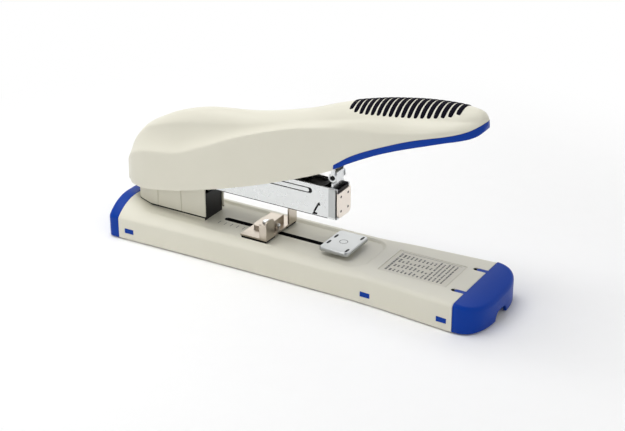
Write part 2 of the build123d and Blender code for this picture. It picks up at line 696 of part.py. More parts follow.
# Pedestal cover: two sides and a back, on a set-back skirt that leaves a shadow gap
with BuildPart() as pedestal_cover:
    rear_inner = PEDESTAL_REAR_X + PEDESTAL_WALL
    block(
        (PEDESTAL_REAR_X, PEDESTAL_FRONT_X),
        (-PEDESTAL_OUTER, PEDESTAL_OUTER),
        (FLOOR_Z + PEDESTAL_GAP, PEDESTAL_TOP_Z),
    )
    upright = pedestal_cover.edges().filter_by(Axis.Z).group_by(Axis.X)[0]
    fillet(upright, 2 * PEDESTAL_WALL)
    skirt = PEDESTAL_WALL - PEDESTAL_SKIRT
    block(
        (PEDESTAL_REAR_X + 3 * PEDESTAL_WALL, PEDESTAL_FRONT_X - PEDESTAL_WALL),
        (-PEDESTAL_OUTER + PEDESTAL_SKIRT, PEDESTAL_OUTER - PEDESTAL_SKIRT),
        (FLOOR_Z, FLOOR_Z + PEDESTAL_GAP),
    )
    block(
        (rear_inner, PEDESTAL_FRONT_X + 1),
        (-PEDESTAL_INNER, PEDESTAL_INNER),
        (FLOOR_Z - 1, PEDESTAL_TOP_Z + 1),
        Mode.SUBTRACT,
    )
    for ahead in PEDESTAL_LINES_AT:
        x = PIVOT_X + ahead
        for side in (-1, 1):
            block(
                (x - PEDESTAL_SKIRT / 2, x + PEDESTAL_SKIRT / 2),
                sorted((side * (PEDESTAL_OUTER - PEDESTAL_SKIRT / 2), side * (PEDESTAL_OUTER + 1))),
                (FLOOR_Z, PEDESTAL_TOP_Z + 1),
                Mode.SUBTRACT,
            )
keep(pedestal_cover, "pedestal_cover")

# Main pivot pin and the rings that hold it
with BuildPart() as pivot_pin:
    cross_bar(PIVOT_X, (-PIN_HALF, PIN_HALF), PIVOT_Z, PIN_RADIUS)
    chamfer(pivot_pin.edges().group_by(Axis.Y)[0], SIDE_GAP / 2)
    chamfer(pivot_pin.edges().group_by(Axis.Y)[-1], SIDE_GAP / 2)
keep(pivot_pin, "pivot_pin")

with BuildPart() as pin_rings:
    for side in (-1, 1):
        inner = LEVER_OUTER_HALF + SIDE_GAP
        across = sorted((side * inner, side * (inner + RING_THICKNESS)))
        cross_bar(PIVOT_X, across, PIVOT_Z, RING_RADIUS)
    cross_bar(PIVOT_X, (-PIN_HALF, PIN_HALF), PIVOT_Z, PIN_RADIUS, Mode.SUBTRACT)
keep(pin_rings, "pin_rings")


# Anvil: turnable plate with one pair of grooves to fold staples in, one to splay them
with BuildPart() as anvil_plate:
    with BuildSketch(Plane.XY.offset(ANVIL_UNDER_Z)):
        with Locations((ANVIL_X, 0)):
            RectangleRounded(ANVIL_LENGTH, ANVIL_WIDTH, ANVIL_CORNER)
    extrude(amount=ANVIL_THICKNESS)
    chamfer(anvil_plate.faces().sort_by(Axis.Z)[-1].edges(), ANVIL_BEVEL)
    for x, y in ((-ANVIL_GROOVE_BACK, ANVIL_INNER_Y), (ANVIL_GROOVE_BACK, ANVIL_OUTER_Y)):
        for side in (-1, 1):
            with BuildSketch(Plane.XY.offset(ANVIL_TOP_Z)):
                with Locations(Location((ANVIL_X + x, side * y, 0), (0, 0, 90))):
                    SlotOverall(ANVIL_GROOVE_LENGTH, ANVIL_GROOVE_WIDTH)
            extrude(amount=-ANVIL_GROOVE_DEPTH, mode=Mode.SUBTRACT)
    post(ANVIL_X, 0, (ANVIL_UNDER_Z, ANVIL_TOP_Z), ANVIL_POST_RADIUS, Mode.SUBTRACT)
keep(anvil_plate, "anvil_plate")

spring_top = CHASSIS_Z - RUNNING_GAP
clip_top = spring_top - ANVIL_SPRING_THICKNESS

with BuildPart() as anvil_post:
    post(ANVIL_X, 0, (clip_top - ANVIL_CLIP_THICKNESS, ANVIL_TOP_Z), ANVIL_POST_RADIUS)
    post(ANVIL_X, 0, (FLOOR_Z + RUNNING_GAP, ANVIL_UNDER_Z), ANVIL_COLLAR_RADIUS)
keep(anvil_post, "anvil_post")

with BuildPart() as anvil_spring:
    post(ANVIL_X, 0, (clip_top, spring_top), ANVIL_COLLAR_RADIUS)
    post(ANVIL_X, 0, (clip_top, spring_top), ANVIL_POST_RADIUS, Mode.SUBTRACT)
keep(anvil_spring, "anvil_spring")

with BuildPart() as anvil_clip:
    post(ANVIL_X, 0, (clip_top - ANVIL_CLIP_THICKNESS, clip_top), ANVIL_COLLAR_RADIUS - 1)
    post(
        ANVIL_X, 0, (clip_top - ANVIL_CLIP_THICKNESS, clip_top), ANVIL_POST_RADIUS, Mode.SUBTRACT
    )
keep(anvil_clip, "anvil_clip")

# Magazine channel: open-topped trough with eyes for the main pin
with BuildPart() as magazine_channel:
    rear = PIVOT_X - MAG_REAR
    block((rear, FACE_BACK_X), (-MAG_HALF, MAG_HALF), (MAG_BOTTOM_Z, MAG_TOP_Z))
    cross_bar(PIVOT_X, (-MAG_HALF, MAG_HALF), PIVOT_Z, MAG_EYE)
    block(
        (rear - 1, FACE_BACK_X + 1),
        (-MAG_INNER, MAG_INNER),
        (MAG_FLOOR_Z, PIVOT_Z + 2 * MAG_EYE),
        Mode.SUBTRACT,
    )
    cross_bar(
        PIVOT_X, (-MAG_HALF, MAG_HALF), PIVOT_Z, PIN_RADIUS + PIN_CLEARANCE, Mode.SUBTRACT
    )
    block(
        (rear - 1, PIVOT_X + MAG_EYE),
        (-LIFT_SPRING_HALF - 1, LIFT_SPRING_HALF + 1),
        (MAG_BOTTOM_Z - 1, MAG_FLOOR_Z),
        Mode.SUBTRACT,
    )
    exit_half = DRIVER_THICKNESS / 2 + DRIVER_SLOT_CLEARANCE
    block(
        (DRIVER_X - exit_half, DRIVER_X + exit_half),
        (-MAG_INNER, MAG_INNER),
        (MAG_BOTTOM_Z, MAG_FLOOR_Z),
        Mode.SUBTRACT,
    )
    for side in (-1, 1):
        wall_face = Plane((0, side * MAG_HALF, 0), x_dir=(1, 0, 0), z_dir=(0, -side, 0))
        with BuildSketch(wall_face):
            up = side * -1
            with Locations(((EMBOSS_REAR + EMBOSS_FRONT) / 2, -up * (MAG_BOTTOM_Z + EMBOSS_UP))):
                SlotOverall(EMBOSS_FRONT - EMBOSS_REAR, EMBOSS_HEIGHT)
        extrude(amount=EMBOSS_DEPTH, mode=Mode.SUBTRACT)
        with BuildSketch(Plane.XZ.offset(-side * (MAG_HALF - MAG_WALL / 2))):
            with BuildLine():
                Line(
                    (PIVOT_X + LANCE_LOW[0], MAG_BOTTOM_Z + LANCE_LOW[1]),
                    (PIVOT_X + LANCE_HIGH[0], MAG_BOTTOM_Z + LANCE_HIGH[1]),
                )
            trace(line_width=LANCE_WIDTH)
        extrude(amount=MAG_WALL, both=True, mode=Mode.SUBTRACT)
keep(magazine_channel, "magazine_channel")

# Face plate at the magazine's head, with flanges round the corners of the channel
rivet_places = [
    (side * FACE_RIVET_Y, MAG_BOTTOM_Z + up)
    for side in (-1, 1)
    for up in (FACE_RIVET_LOW, FACE_RIVET_HIGH)
]
with BuildPart() as face_plate:
    with BuildSketch(Plane.YZ.offset(FACE_BACK_X)):
        with Locations((0, (MAG_BOTTOM_Z + MAG_TOP_Z) / 2)):
            RectangleRounded(2 * (MAG_HALF + FACE_FLANGE), MAG_HEIGHT, FACE_CORNER)
        with Locations((0, MAG_TOP_Z - MAG_HEIGHT / 4)):
            Rectangle(2 * (MAG_HALF + FACE_FLANGE), MAG_HEIGHT / 2)
        with Locations((0, MAG_TOP_Z)):
            Rectangle(2 * FACE_NOTCH_HALF, 2 * FACE_NOTCH_DEPTH, mode=Mode.SUBTRACT)
        with Locations(rivet_places):
            Circle(FACE_RIVET_RADIUS, mode=Mode.SUBTRACT)
    extrude(amount=FACE_THICKNESS)
    for side in (-1, 1):
        block(
            (FACE_BACK_X - FACE_FLANGE_LENGTH, FACE_BACK_X),
            sorted((side * MAG_HALF, side * (MAG_HALF + FACE_FLANGE))),
            (MAG_BOTTOM_Z + FACE_CORNER, MAG_TOP_Z),
        )
keep(face_plate, "face_plate")

with BuildPart() as face_rivets:
    for y, z in rivet_places:
        long_bar((FACE_BACK_X, FACE_X - EMBOSS_DEPTH), y, z, FACE_RIVET_RADIUS)
keep(face_rivets, "face_rivets")

# Head guide: block that steers the driver blade out of the head
with BuildPart() as head_guide:
    guide_rear = DRIVER_X - exit_half - HEAD_GUIDE_BEHIND
    block(
        (guide_rear, FACE_BACK_X),
        (-MAG_INNER, MAG_INNER),
        (MAG_FLOOR_Z, MAG_FLOOR_Z + HEAD_GUIDE_HEIGHT),
    )
    block(
        (DRIVER_X - exit_half, DRIVER_X + exit_half),
        (-MAG_INNER + DRIVER_SLOT_CLEARANCE, MAG_INNER - DRIVER_SLOT_CLEARANCE),
        (MAG_FLOOR_Z, MAG_FLOOR_Z + HEAD_GUIDE_HEIGHT),
        Mode.SUBTRACT,
    )
keep(head_guide, "head_guide")

# Staple rail, guide rod and the two cross pieces that hold the rod
with BuildPart() as staple_rail:
    block(
        (RAIL_REAR_X, guide_rear), (-RAIL_HALF, RAIL_HALF), (MAG_FLOOR_Z, MAG_FLOOR_Z + RAIL_HEIGHT)
    )
    fillet(staple_rail.edges().filter_by(Axis.X).group_by(Axis.Z)[-1], MAG_WALL / 2)
keep(staple_rail, "staple_rail")

rod_z = MAG_BOTTOM_Z + ROD_UP
rod_bracket_rear_x = ROD_BRACKET_FRONT_X - ROD_BRACKET_LENGTH
bracket_low_z = MAG_FLOOR_Z + RAIL_HEIGHT + 2 * PUSHER_CLEARANCE

with BuildPart() as rod_bracket:
    block(
        (rod_bracket_rear_x, ROD_BRACKET_FRONT_X), (-MAG_INNER, MAG_INNER), (bracket_low_z, MAG_TOP_Z)
    )
    long_bar((rod_bracket_rear_x, ROD_BRACKET_FRONT_X), 0, rod_z, ROD_RADIUS, Mode.SUBTRACT)
keep(rod_bracket, "rod_bracket")

with BuildPart() as rear_stop:
    block(
        (ROD_REAR_X, ROD_REAR_X + REAR_STOP_THICKNESS),
        (-MAG_INNER, MAG_INNER),
        (MAG_FLOOR_Z, MAG_TOP_Z),
    )
    long_bar(
        (ROD_REAR_X, ROD_REAR_X + REAR_STOP_THICKNESS), 0, rod_z, ROD_RADIUS, Mode.SUBTRACT
    )
keep(rear_stop, "rear_stop")

with BuildPart() as pusher_rod:
    long_bar((ROD_REAR_X, ROD_BRACKET_FRONT_X), 0, rod_z, ROD_RADIUS)
keep(pusher_rod, "pusher_rod")

# Pusher: saddle on the rail, driven forward by its spring on the rod
pusher_front_x = rod_bracket_rear_x - PUSHER_CLEARANCE
pusher_rear_x = pusher_front_x - PUSHER_LENGTH
pusher_top_z = rod_z + 2 * ROD_RADIUS
nose_top_z = bracket_low_z - PUSHER_CLEARANCE

with BuildPart() as pusher:
    pusher_half = MAG_INNER - PUSHER_CLEARANCE
    pusher_low = MAG_FLOOR_Z + PUSHER_CLEARANCE
    block(
        (pusher_rear_x, pusher_front_x), (-pusher_half, pusher_half), (pusher_low, pusher_top_z)
    )
    block(
        (pusher_rear_x, pusher_front_x + PUSHER_NOSE),
        (-pusher_half, pusher_half),
        (pusher_low, nose_top_z),
    )
    block(
        (pusher_rear_x - 1, pusher_front_x + PUSHER_NOSE + 1),
        (-RAIL_HALF - PUSHER_CLEARANCE, RAIL_HALF + PUSHER_CLEARANCE),
        (MAG_FLOOR_Z, MAG_FLOOR_Z + RAIL_HEIGHT + PUSHER_CLEARANCE),
        Mode.SUBTRACT,
    )
    long_bar(
        (pusher_rear_x, pusher_front_x), 0, rod_z, ROD_RADIUS + PIN_CLEARANCE, Mode.SUBTRACT
    )
keep(pusher, "pusher")

with BuildPart() as pusher_spring:
    spring_span = (ROD_REAR_X + REAR_STOP_THICKNESS, pusher_rear_x)
    bore = ROD_RADIUS + PUSHER_CLEARANCE
    long_bar(spring_span, 0, rod_z, bore + PUSHER_SPRING_WIRE)
    long_bar(spring_span, 0, rod_z, bore, Mode.SUBTRACT)
keep(pusher_spring, "pusher_spring")

# Driver: blade, carrier and the cross pin that the yoke pushes on
blade_low_z = MAG_BOTTOM_Z + DRIVER_STROKE + DRIVER_SLOT_CLEARANCE
carrier_low_z = DRIVER_PIN_Z - CARRIER_HEIGHT / 2
blade_shoulder_z = carrier_low_z

with BuildPart() as driver_blade:
    blade_x = (DRIVER_X - DRIVER_THICKNESS / 2, DRIVER_X + DRIVER_THICKNESS / 2)
    blade_half = MAG_INNER - 2 * DRIVER_SLOT_CLEARANCE
    tang_half = CARRIER_HALF - 1
    block(blade_x, (-blade_half, blade_half), (blade_low_z, blade_shoulder_z))
    block(blade_x, (-tang_half, tang_half), (blade_low_z, carrier_low_z + CARRIER_HEIGHT))
    cross_bar(DRIVER_X, (-MAG_HALF, MAG_HALF), DRIVER_PIN_Z, DRIVER_PIN_RADIUS, Mode.SUBTRACT)
keep(driver_blade, "driver_blade")

with BuildPart() as driver_carrier:
    block(
        (DRIVER_X - CARRIER_LENGTH / 2, DRIVER_X + CARRIER_LENGTH / 2),
        (-CARRIER_HALF, CARRIER_HALF),
        (carrier_low_z, carrier_low_z + CARRIER_HEIGHT),
    )
    block(
        blade_x, (-tang_half, tang_half), (carrier_low_z, carrier_low_z + CARRIER_HEIGHT), Mode.SUBTRACT
    )
    cross_bar(DRIVER_X, (-MAG_HALF, MAG_HALF), DRIVER_PIN_Z, DRIVER_PIN_RADIUS, Mode.SUBTRACT)
keep(driver_carrier, "driver_carrier")

with BuildPart() as driver_pin:
    pin_half = MAG_INNER - PUSHER_CLEARANCE
    cross_bar(DRIVER_X, (-pin_half, pin_half), DRIVER_PIN_Z, DRIVER_PIN_RADIUS)
keep(driver_pin, "driver_pin")

# Form of the handle: sections across it, by distance ahead of the pivot and
# height above it. Each has its lower edge, a shoulder, a crest and its top.
HANDLE_FORM = (
    # ahead, low, low half, shoulder half, shoulder, crest half, crest, top
    (-33.0, -24.2, 7.0, 7.0, -18.6, 3.0, -15.4, -13.4),
    (-31.8, -24.6, 9.6, 9.4, -10.6, 5.1, -6.0, -1.8),
    (-29.0, -24.7, 11.9, 11.6, -6.5, 6.1, 0.3, 5.0),
    (-25.0, -25.0, 15.4, 15.0, -2.8, 7.2, 6.5, 9.9),
    (-18.5, -25.0, 18.2, 17.6, 1.2, 8.3, 13.6, 16.8),
    (-11.0, -24.7, 19.8, 19.0, 3.6, 8.9, 19.5, 21.9),
    (13.0, -20.8, 20.2, 18.8, 6.8, 9.7, 27.1, 33.3),
    (37.0, -14.9, 20.0, 18.4, 16.6, 9.9, 31.8, 39.8),
    (70.0, -5.3, 19.0, 17.8, 31.5, 10.4, 37.6, 43.6),
    (110.0, 8.9, 18.2, 17.2, 45.1, 11.0, 48.3, 53.0),
    (138.0, 21.0, 18.0, 17.4, 51.1, 12.3, 54.9, 64.2),
    (155.0, 30.7, 18.6, 18.2, 53.6, 13.6, 59.4, 70.1),
    (177.0, 42.1, 20.2, 20.6, 56.9, 14.4, 65.3, 74.9),
    (205.0, 53.5, 21.6, 21.8, 62.7, 14.7, 69.5, 78.2),
    (225.0, 60.4, 20.0, 20.0, 66.8, 13.3, 71.2, 77.7),
    (236.0, 64.1, 15.6, 15.4, 68.4, 9.9, 70.3, 74.8),
    (241.5, 66.9, 8.6, 8.4, 69.6, 5.0, 70.6, 73.1),
)
# Line between the shell and the blue trim under its front half
TRIM_LINE = ((TRIM_REAR, 26.7), (155.0, 35.8), (177.0, 47.2), (205.0, 59.2), (225.0, 65.6), (248.0, 74.5))


def handle_section(form, inset=0.0, drop=0.0):
    """Cross-section of the handle, shrunk by a wall, with its lower edge lowered."""
    ahead, low, low_half, shoulder_half, shoulder, crest_half, crest, top = form
    low_y, low_z = low_half - inset, PIVOT_Z + low - drop
    mid_y, mid_z = shoulder_half - inset, PIVOT_Z + shoulder - inset / 2
    high_y, high_z = crest_half - inset / 2, PIVOT_Z + crest - inset
    top_z = PIVOT_Z + top - inset
    with BuildSketch(Plane.YZ.offset(PIVOT_X + ahead)) as section:
        with BuildLine():
            Polyline((-mid_y, mid_z), (-low_y, low_z), (low_y, low_z), (mid_y, mid_z))
            ThreePointArc(
                (mid_y, mid_z),
                ((mid_y + high_y) / 2 + 0.8, (mid_z + high_z) / 2 + 0.8),
                (high_y, high_z),
            )
            ThreePointArc((high_y, high_z), (0, top_z), (-high_y, high_z))
            ThreePointArc(
                (-high_y, high_z),
                (-(mid_y + high_y) / 2 - 0.8, (mid_z + high_z) / 2 + 0.8),
                (-mid_y, mid_z),
            )
        make_face()
    return section.sketch


def form_at(ahead):
    """Handle section values at any distance ahead of the pivot."""
    columns = zip(*HANDLE_FORM)
    places = next(columns)
    return (ahead,) + tuple(smooth(ahead, tuple(zip(places, column))) for column in columns)


def handle_forms(rear, front):
    """Handle sections from one place to another, with one more in each long stretch."""
    places = [form[0] for form in HANDLE_FORM]
    places += [(a + b) / 2 for a, b in zip(places, places[1:]) if b - a > LONGEST_STRETCH]
    inside = sorted(place for place in places if rear + 1 < place < front - 1)
    return [form_at(place) for place in [rear] + inside + [front]]


HANDLE_REAR = HANDLE_FORM[0][0]
HANDLE_FRONT = HANDLE_FORM[-1][0]

with BuildPart() as handle_envelope:
    loft([handle_section(form) for form in handle_forms(HANDLE_REAR, HANDLE_FRONT)], ruled=True)

with BuildPart() as rear_room:
    forms = handle_forms(HANDLE_REAR + HANDLE_WALL, TRIM_REAR)
    loft([handle_section(form, HANDLE_WALL, OPEN_BELOW) for form in forms], ruled=True)

with BuildPart() as front_room:
    forms = handle_forms(TRIM_REAR, HANDLE_FRONT - TIP_SOLID)
    loft([handle_section(form, HANDLE_WALL, -TRIM_FLOOR) for form in forms], ruled=True)

with BuildPart() as trim_region:
    with BuildSketch(Plane.XZ):
        with BuildLine():
            trim_line = [(PIVOT_X + ahead, PIVOT_Z + up) for ahead, up in TRIM_LINE]
            Spline(*trim_line)
            Polyline(
                trim_line[-1],
                (trim_line[-1][0], PIVOT_Z - MAG_BOTTOM_DROP),
                (trim_line[0][0], PIVOT_Z - MAG_BOTTOM_DROP),
                trim_line[0],
            )
        make_face()
    extrude(amount=BASE_FRONT_HALF, both=True)

# Middle of the handle's wall, where bosses and grip ribs end
with BuildPart() as wall_middle:
    forms = handle_forms(HANDLE_REAR, HANDLE_FRONT)
    loft([handle_section(form, HANDLE_WALL / 2, MAG_HEIGHT) for form in forms], ruled=True)

# Grip ribs: rubber bars set into the top of the handle, in a lens-shaped group
with BuildPart() as grip_ribs:
    with BuildSketch(Plane.XY.offset(PIVOT_Z)):
        middle = (GRIP_RIBS - 1) / 2
        for step in range(GRIP_RIBS):
            share = (step - middle) / (GRIP_LENS * middle)
            half = GRIP_HALF * (1 - share**2) ** 0.5
            with Locations((PIVOT_X + GRIP_REAR + step * GRIP_PITCH, 0)):
                SlotOverall(2 * half, GRIP_RIB_WIDTH, rotation=90)
    extrude(amount=BASE_LENGTH)
    loft([handle_section(form, -GRIP_PROUD) for form in forms], ruled=True, mode=Mode.INTERSECT)
    add(wall_middle.part, mode=Mode.SUBTRACT)
keep(grip_ribs, "grip_ribs")


def web_under(ahead):
    """Height of the underside of the lever's web, ahead of the pivot."""
    return PIVOT_Z + LEVER_WEB_UP + ahead * tan(radians(LEVER_RISE_DEG))


def web_plane(ahead, above=0.0):
    """Plane on the lever's web, facing up, at a height over the web's underside."""
    rise = radians(LEVER_RISE_DEG)
    place = (PIVOT_X + ahead - above * sin(rise), 0, web_under(ahead) + above * cos(rise))
    return Plane(place, x_dir=(cos(rise), 0, sin(rise)), z_dir=(-sin(rise), 0, cos(rise)))


# Handle shell: moulded cover, open underneath, with bosses that stand on the lever
with BuildPart() as shell_bosses:
    for ahead in HANDLE_BOSS_AT:
        with BuildSketch(web_plane(ahead, LEVER_THICKNESS)):
            Circle(HANDLE_BOSS_RADIUS)
        extrude(amount=MAG_HEIGHT * 2)
    add(wall_middle.part, mode=Mode.INTERSECT)

with BuildPart() as handle_shell:
    add(handle_envelope.part)
    add(rear_room.part, mode=Mode.SUBTRACT)
    add(front_room.part, mode=Mode.SUBTRACT)
    add(trim_region.part, mode=Mode.SUBTRACT)
    add(shell_bosses.part)
    for ahead in HANDLE_BOSS_AT:
        with BuildSketch(web_plane(ahead, LEVER_THICKNESS)):
            Circle(SCREW_RADIUS)
        extrude(amount=HANDLE_SCREW_BITE, mode=Mode.SUBTRACT)
    add(grip_ribs.part, mode=Mode.SUBTRACT)
keep(handle_shell, "handle_shell")

# Trim: the blue underside of the handle's front half
with BuildPart() as handle_trim:
    add(handle_envelope.part)
    add(trim_region.part, mode=Mode.INTERSECT)
    add(front_room.part, mode=Mode.SUBTRACT)
keep(handle_trim, "handle_trim")

# Lever: folded steel channel that carries the handle, with an eye on each arm
with BuildPart() as handle_lever:
    front_under = web_under(LEVER_FRONT)
    web_top = LEVER_THICKNESS / cos(radians(LEVER_RISE_DEG))
    with BuildSketch(Plane.XZ):
        with BuildLine():
            Polyline(
                (PIVOT_X - LEVER_EYE, PIVOT_Z),
                (PIVOT_X, PIVOT_Z - LEVER_EYE),
                (PIVOT_X + LEVER_FRONT, front_under - LEVER_ARM_DEPTH),
                (PIVOT_X + LEVER_FRONT, front_under + web_top),
                (PIVOT_X + LEVER_WEB_REAR, web_under(LEVER_WEB_REAR) + web_top),
                (PIVOT_X, PIVOT_Z + LEVER_EYE),
                close=True,
            )
        make_face()
        with Locations((PIVOT_X, PIVOT_Z)):
            Circle(LEVER_EYE)
            Circle(PIN_RADIUS + PIN_CLEARANCE, mode=Mode.SUBTRACT)
    extrude(amount=LEVER_OUTER_HALF, both=True)
    with BuildSketch(Plane.XZ):
        with BuildLine():
            Polyline(
                (PIVOT_X - 2 * LEVER_EYE, PIVOT_Z - 2 * LEVER_EYE),
                (PIVOT_X + LEVER_FRONT + 1, PIVOT_Z - 2 * LEVER_EYE),
                (PIVOT_X + LEVER_FRONT + 1, web_under(LEVER_FRONT + 1)),
                (PIVOT_X + LEVER_WEB_REAR, web_under(LEVER_WEB_REAR)),
                (PIVOT_X + LEVER_WEB_REAR, PIVOT_Z + 3 * LEVER_EYE),
                (PIVOT_X - 2 * LEVER_EYE, PIVOT_Z + 3 * LEVER_EYE),
                close=True,
            )
        make_face()
    extrude(amount=LEVER_INNER_HALF, both=True, mode=Mode.SUBTRACT)
    for ahead in HANDLE_BOSS_AT:
        with BuildSketch(web_plane(ahead)):
            Circle(SCREW_RADIUS)
        extrude(amount=LEVER_THICKNESS, mode=Mode.SUBTRACT)
    with BuildSketch(web_plane(DRIVER_ARM)):
        with Locations((0, -YOKE_RIVET_Y), (0, YOKE_RIVET_Y)):
            Circle(YOKE_RIVET_RADIUS)
    extrude(amount=LEVER_THICKNESS, mode=Mode.SUBTRACT)
keep(handle_lever, "handle_lever")

with BuildPart() as handle_screws:
    for ahead in HANDLE_BOSS_AT:
        with BuildSketch(web_plane(ahead, -SCREW_HEAD_HEIGHT)):
            Circle(SCREW_HEAD_RADIUS)
        extrude(amount=SCREW_HEAD_HEIGHT)
        with BuildSketch(web_plane(ahead)):
            Circle(SCREW_RADIUS)
        extrude(amount=LEVER_THICKNESS + HANDLE_SCREW_BITE)
keep(handle_screws, "handle_screws")

# Drive yoke: two legs on a plate under the lever, each with an eye for the driver's pin
with BuildPart() as drive_yoke:
    with BuildSketch(web_plane(DRIVER_ARM, -YOKE_THICKNESS)):
        Rectangle(YOKE_TOP_LENGTH, 2 * YOKE_OUTER)
    extrude(amount=YOKE_THICKNESS)
    for side in (-1, 1):
        with BuildSketch(Plane.XZ.offset(-side * YOKE_OUTER)):
            leg_top = web_under(DRIVER_ARM) - YOKE_THICKNESS / 2
            with Locations((DRIVER_X, (leg_top + DRIVER_PIN_Z) / 2)):
                Rectangle(2 * YOKE_LEG_HALF, leg_top - DRIVER_PIN_Z)
            with Locations((DRIVER_X - YOKE_DRIFT / 2, DRIVER_PIN_Z)):
                Circle(YOKE_EYE)
                SlotCenterToCenter(
                    YOKE_DRIFT, 2 * (DRIVER_PIN_RADIUS + YOKE_PLAY), mode=Mode.SUBTRACT
                )
        extrude(amount=side * YOKE_THICKNESS)
    with BuildSketch(web_plane(DRIVER_ARM, -YOKE_THICKNESS)):
        with Locations((0, -YOKE_RIVET_Y), (0, YOKE_RIVET_Y)):
            Circle(YOKE_RIVET_RADIUS)
    extrude(amount=YOKE_THICKNESS, mode=Mode.SUBTRACT)
keep(drive_yoke, "drive_yoke")

with BuildPart() as yoke_rivets:
    rivet_y = ((0, -YOKE_RIVET_Y), (0, YOKE_RIVET_Y))
    head = YOKE_THICKNESS / 2
    for low, high, radius in (
        (-YOKE_THICKNESS - head, -YOKE_THICKNESS, YOKE_RIVET_HEAD),
        (-YOKE_THICKNESS, LEVER_THICKNESS, YOKE_RIVET_RADIUS),
        (LEVER_THICKNESS, LEVER_THICKNESS + head, YOKE_RIVET_HEAD),
    ):
        with BuildSketch(web_plane(DRIVER_ARM, low)):
            with Locations(*rivet_y):
                Circle(radius)
        extrude(amount=high - low)
keep(yoke_rivets, "yoke_rivets")

# Springs: one lifts the magazine, one lifts the handle off the magazine
with BuildPart() as return_spring:
    spring_x = PIVOT_X + RETURN_SPRING_AT
    spring_z = (MAG_FLOOR_Z, web_under(RETURN_SPRING_AT - RETURN_SPRING_RADIUS))
    post(spring_x, 0, spring_z, RETURN_SPRING_RADIUS)
    post(spring_x, 0, spring_z, RETURN_SPRING_RADIUS - RETURN_SPRING_WIRE, Mode.SUBTRACT)
keep(return_spring, "return_spring")

with BuildPart() as lift_spring:
    coil = LIFT_SPRING_BORE + LIFT_SPRING_WIRE
    across = (-LIFT_SPRING_HALF, LIFT_SPRING_HALF)
    cross_bar(PIVOT_X, across, PIVOT_Z, coil)
    block(
        (PIVOT_X - coil, PIVOT_X - coil + LIFT_SPRING_WIRE),
        (-LIFT_SPRING_HALF, LIFT_SPRING_WIRE - LIFT_SPRING_HALF),
        (FLOOR_Z + BRACKET_THICKNESS, PIVOT_Z),
    )
    block(
        (PIVOT_X + coil - LIFT_SPRING_WIRE, PIVOT_X + coil),
        (LIFT_SPRING_HALF - LIFT_SPRING_WIRE, LIFT_SPRING_HALF),
        (MAG_FLOOR_Z, PIVOT_Z),
    )
    block(
        (PIVOT_X + coil - LIFT_SPRING_WIRE, PIVOT_X + LIFT_SPRING_LEG),
        (LIFT_SPRING_HALF - LIFT_SPRING_WIRE, LIFT_SPRING_HALF),
        (MAG_FLOOR_Z, MAG_FLOOR_Z + LIFT_SPRING_WIRE),
    )
    cross_bar(PIVOT_X, across, PIVOT_Z, LIFT_SPRING_BORE, Mode.SUBTRACT)
keep(lift_spring, "lift_spring")

# Depth guide: bent plate with two stops, on a runner that is held in the floor's slot
guide_foot = (GUIDE_STOP_X - GUIDE_FOOT_LENGTH, GUIDE_STOP_X)
guide_neck_x = GUIDE_STOP_X - GUIDE_NECK_BACK
guide_neck = (guide_neck_x - GUIDE_NECK_LENGTH / 2, guide_neck_x + GUIDE_NECK_LENGTH / 2)
guide_top_z = GUIDE_FOOT_Z + GUIDE_SHEET
keeper_z = CHASSIS_Z - RUNNING_GAP - GUIDE_KEEPER_THICKNESS
clamp_top_z = guide_top_z + GUIDE_CLAMP_HEIGHT

with BuildPart() as guide_plate:
    block(guide_foot, (-GUIDE_FOOT_HALF, GUIDE_FOOT_HALF), (GUIDE_FOOT_Z, guide_top_z))
    for side in (-1, 1):
        with BuildSketch(Plane.YZ.offset(GUIDE_STOP_X)):
            middle = side * (GUIDE_STOP_INNER + GUIDE_FOOT_HALF) / 2
            with Locations((middle, guide_top_z + GUIDE_STOP_HEIGHT / 2)):
                RectangleRounded(
                    GUIDE_FOOT_HALF - GUIDE_STOP_INNER, GUIDE_STOP_HEIGHT, GUIDE_STOP_CORNER
                )
            with Locations((middle, guide_top_z + GUIDE_STOP_HEIGHT / 4)):
                Rectangle(GUIDE_FOOT_HALF - GUIDE_STOP_INNER, GUIDE_STOP_HEIGHT / 2)
        extrude(amount=-GUIDE_SHEET)
    post(guide_neck_x, 0, (GUIDE_FOOT_Z, guide_top_z), GUIDE_RIVET_RADIUS, Mode.SUBTRACT)
    post(
        GUIDE_STOP_X - GUIDE_STUD_BACK,
        0,
        (GUIDE_FOOT_Z, guide_top_z),
        GUIDE_STUD_RADIUS,
        Mode.SUBTRACT,
    )
keep(guide_plate, "guide_plate")

with BuildPart() as guide_runner:
    block(
        guide_neck,
        (-GUIDE_RUNNER_HALF, GUIDE_RUNNER_HALF),
        (FLOOR_Z + RUNNING_GAP, GUIDE_FOOT_Z),
    )
    neck_half = GUIDE_SLOT_WIDTH / 2 - COVER_CLEARANCE
    block(guide_neck, (-neck_half, neck_half), (keeper_z + GUIDE_KEEPER_THICKNESS, GUIDE_FOOT_Z))
    post(guide_neck_x, 0, (keeper_z, GUIDE_FOOT_Z), GUIDE_RIVET_RADIUS, Mode.SUBTRACT)
keep(guide_runner, "guide_runner")

with BuildPart() as guide_keeper:
    block(
        guide_neck,
        (-GUIDE_KEEPER_HALF, GUIDE_KEEPER_HALF),
        (keeper_z, keeper_z + GUIDE_KEEPER_THICKNESS),
    )
    post(
        guide_neck_x, 0, (keeper_z, keeper_z + GUIDE_KEEPER_THICKNESS), GUIDE_RIVET_RADIUS, Mode.SUBTRACT
    )
keep(guide_keeper, "guide_keeper")

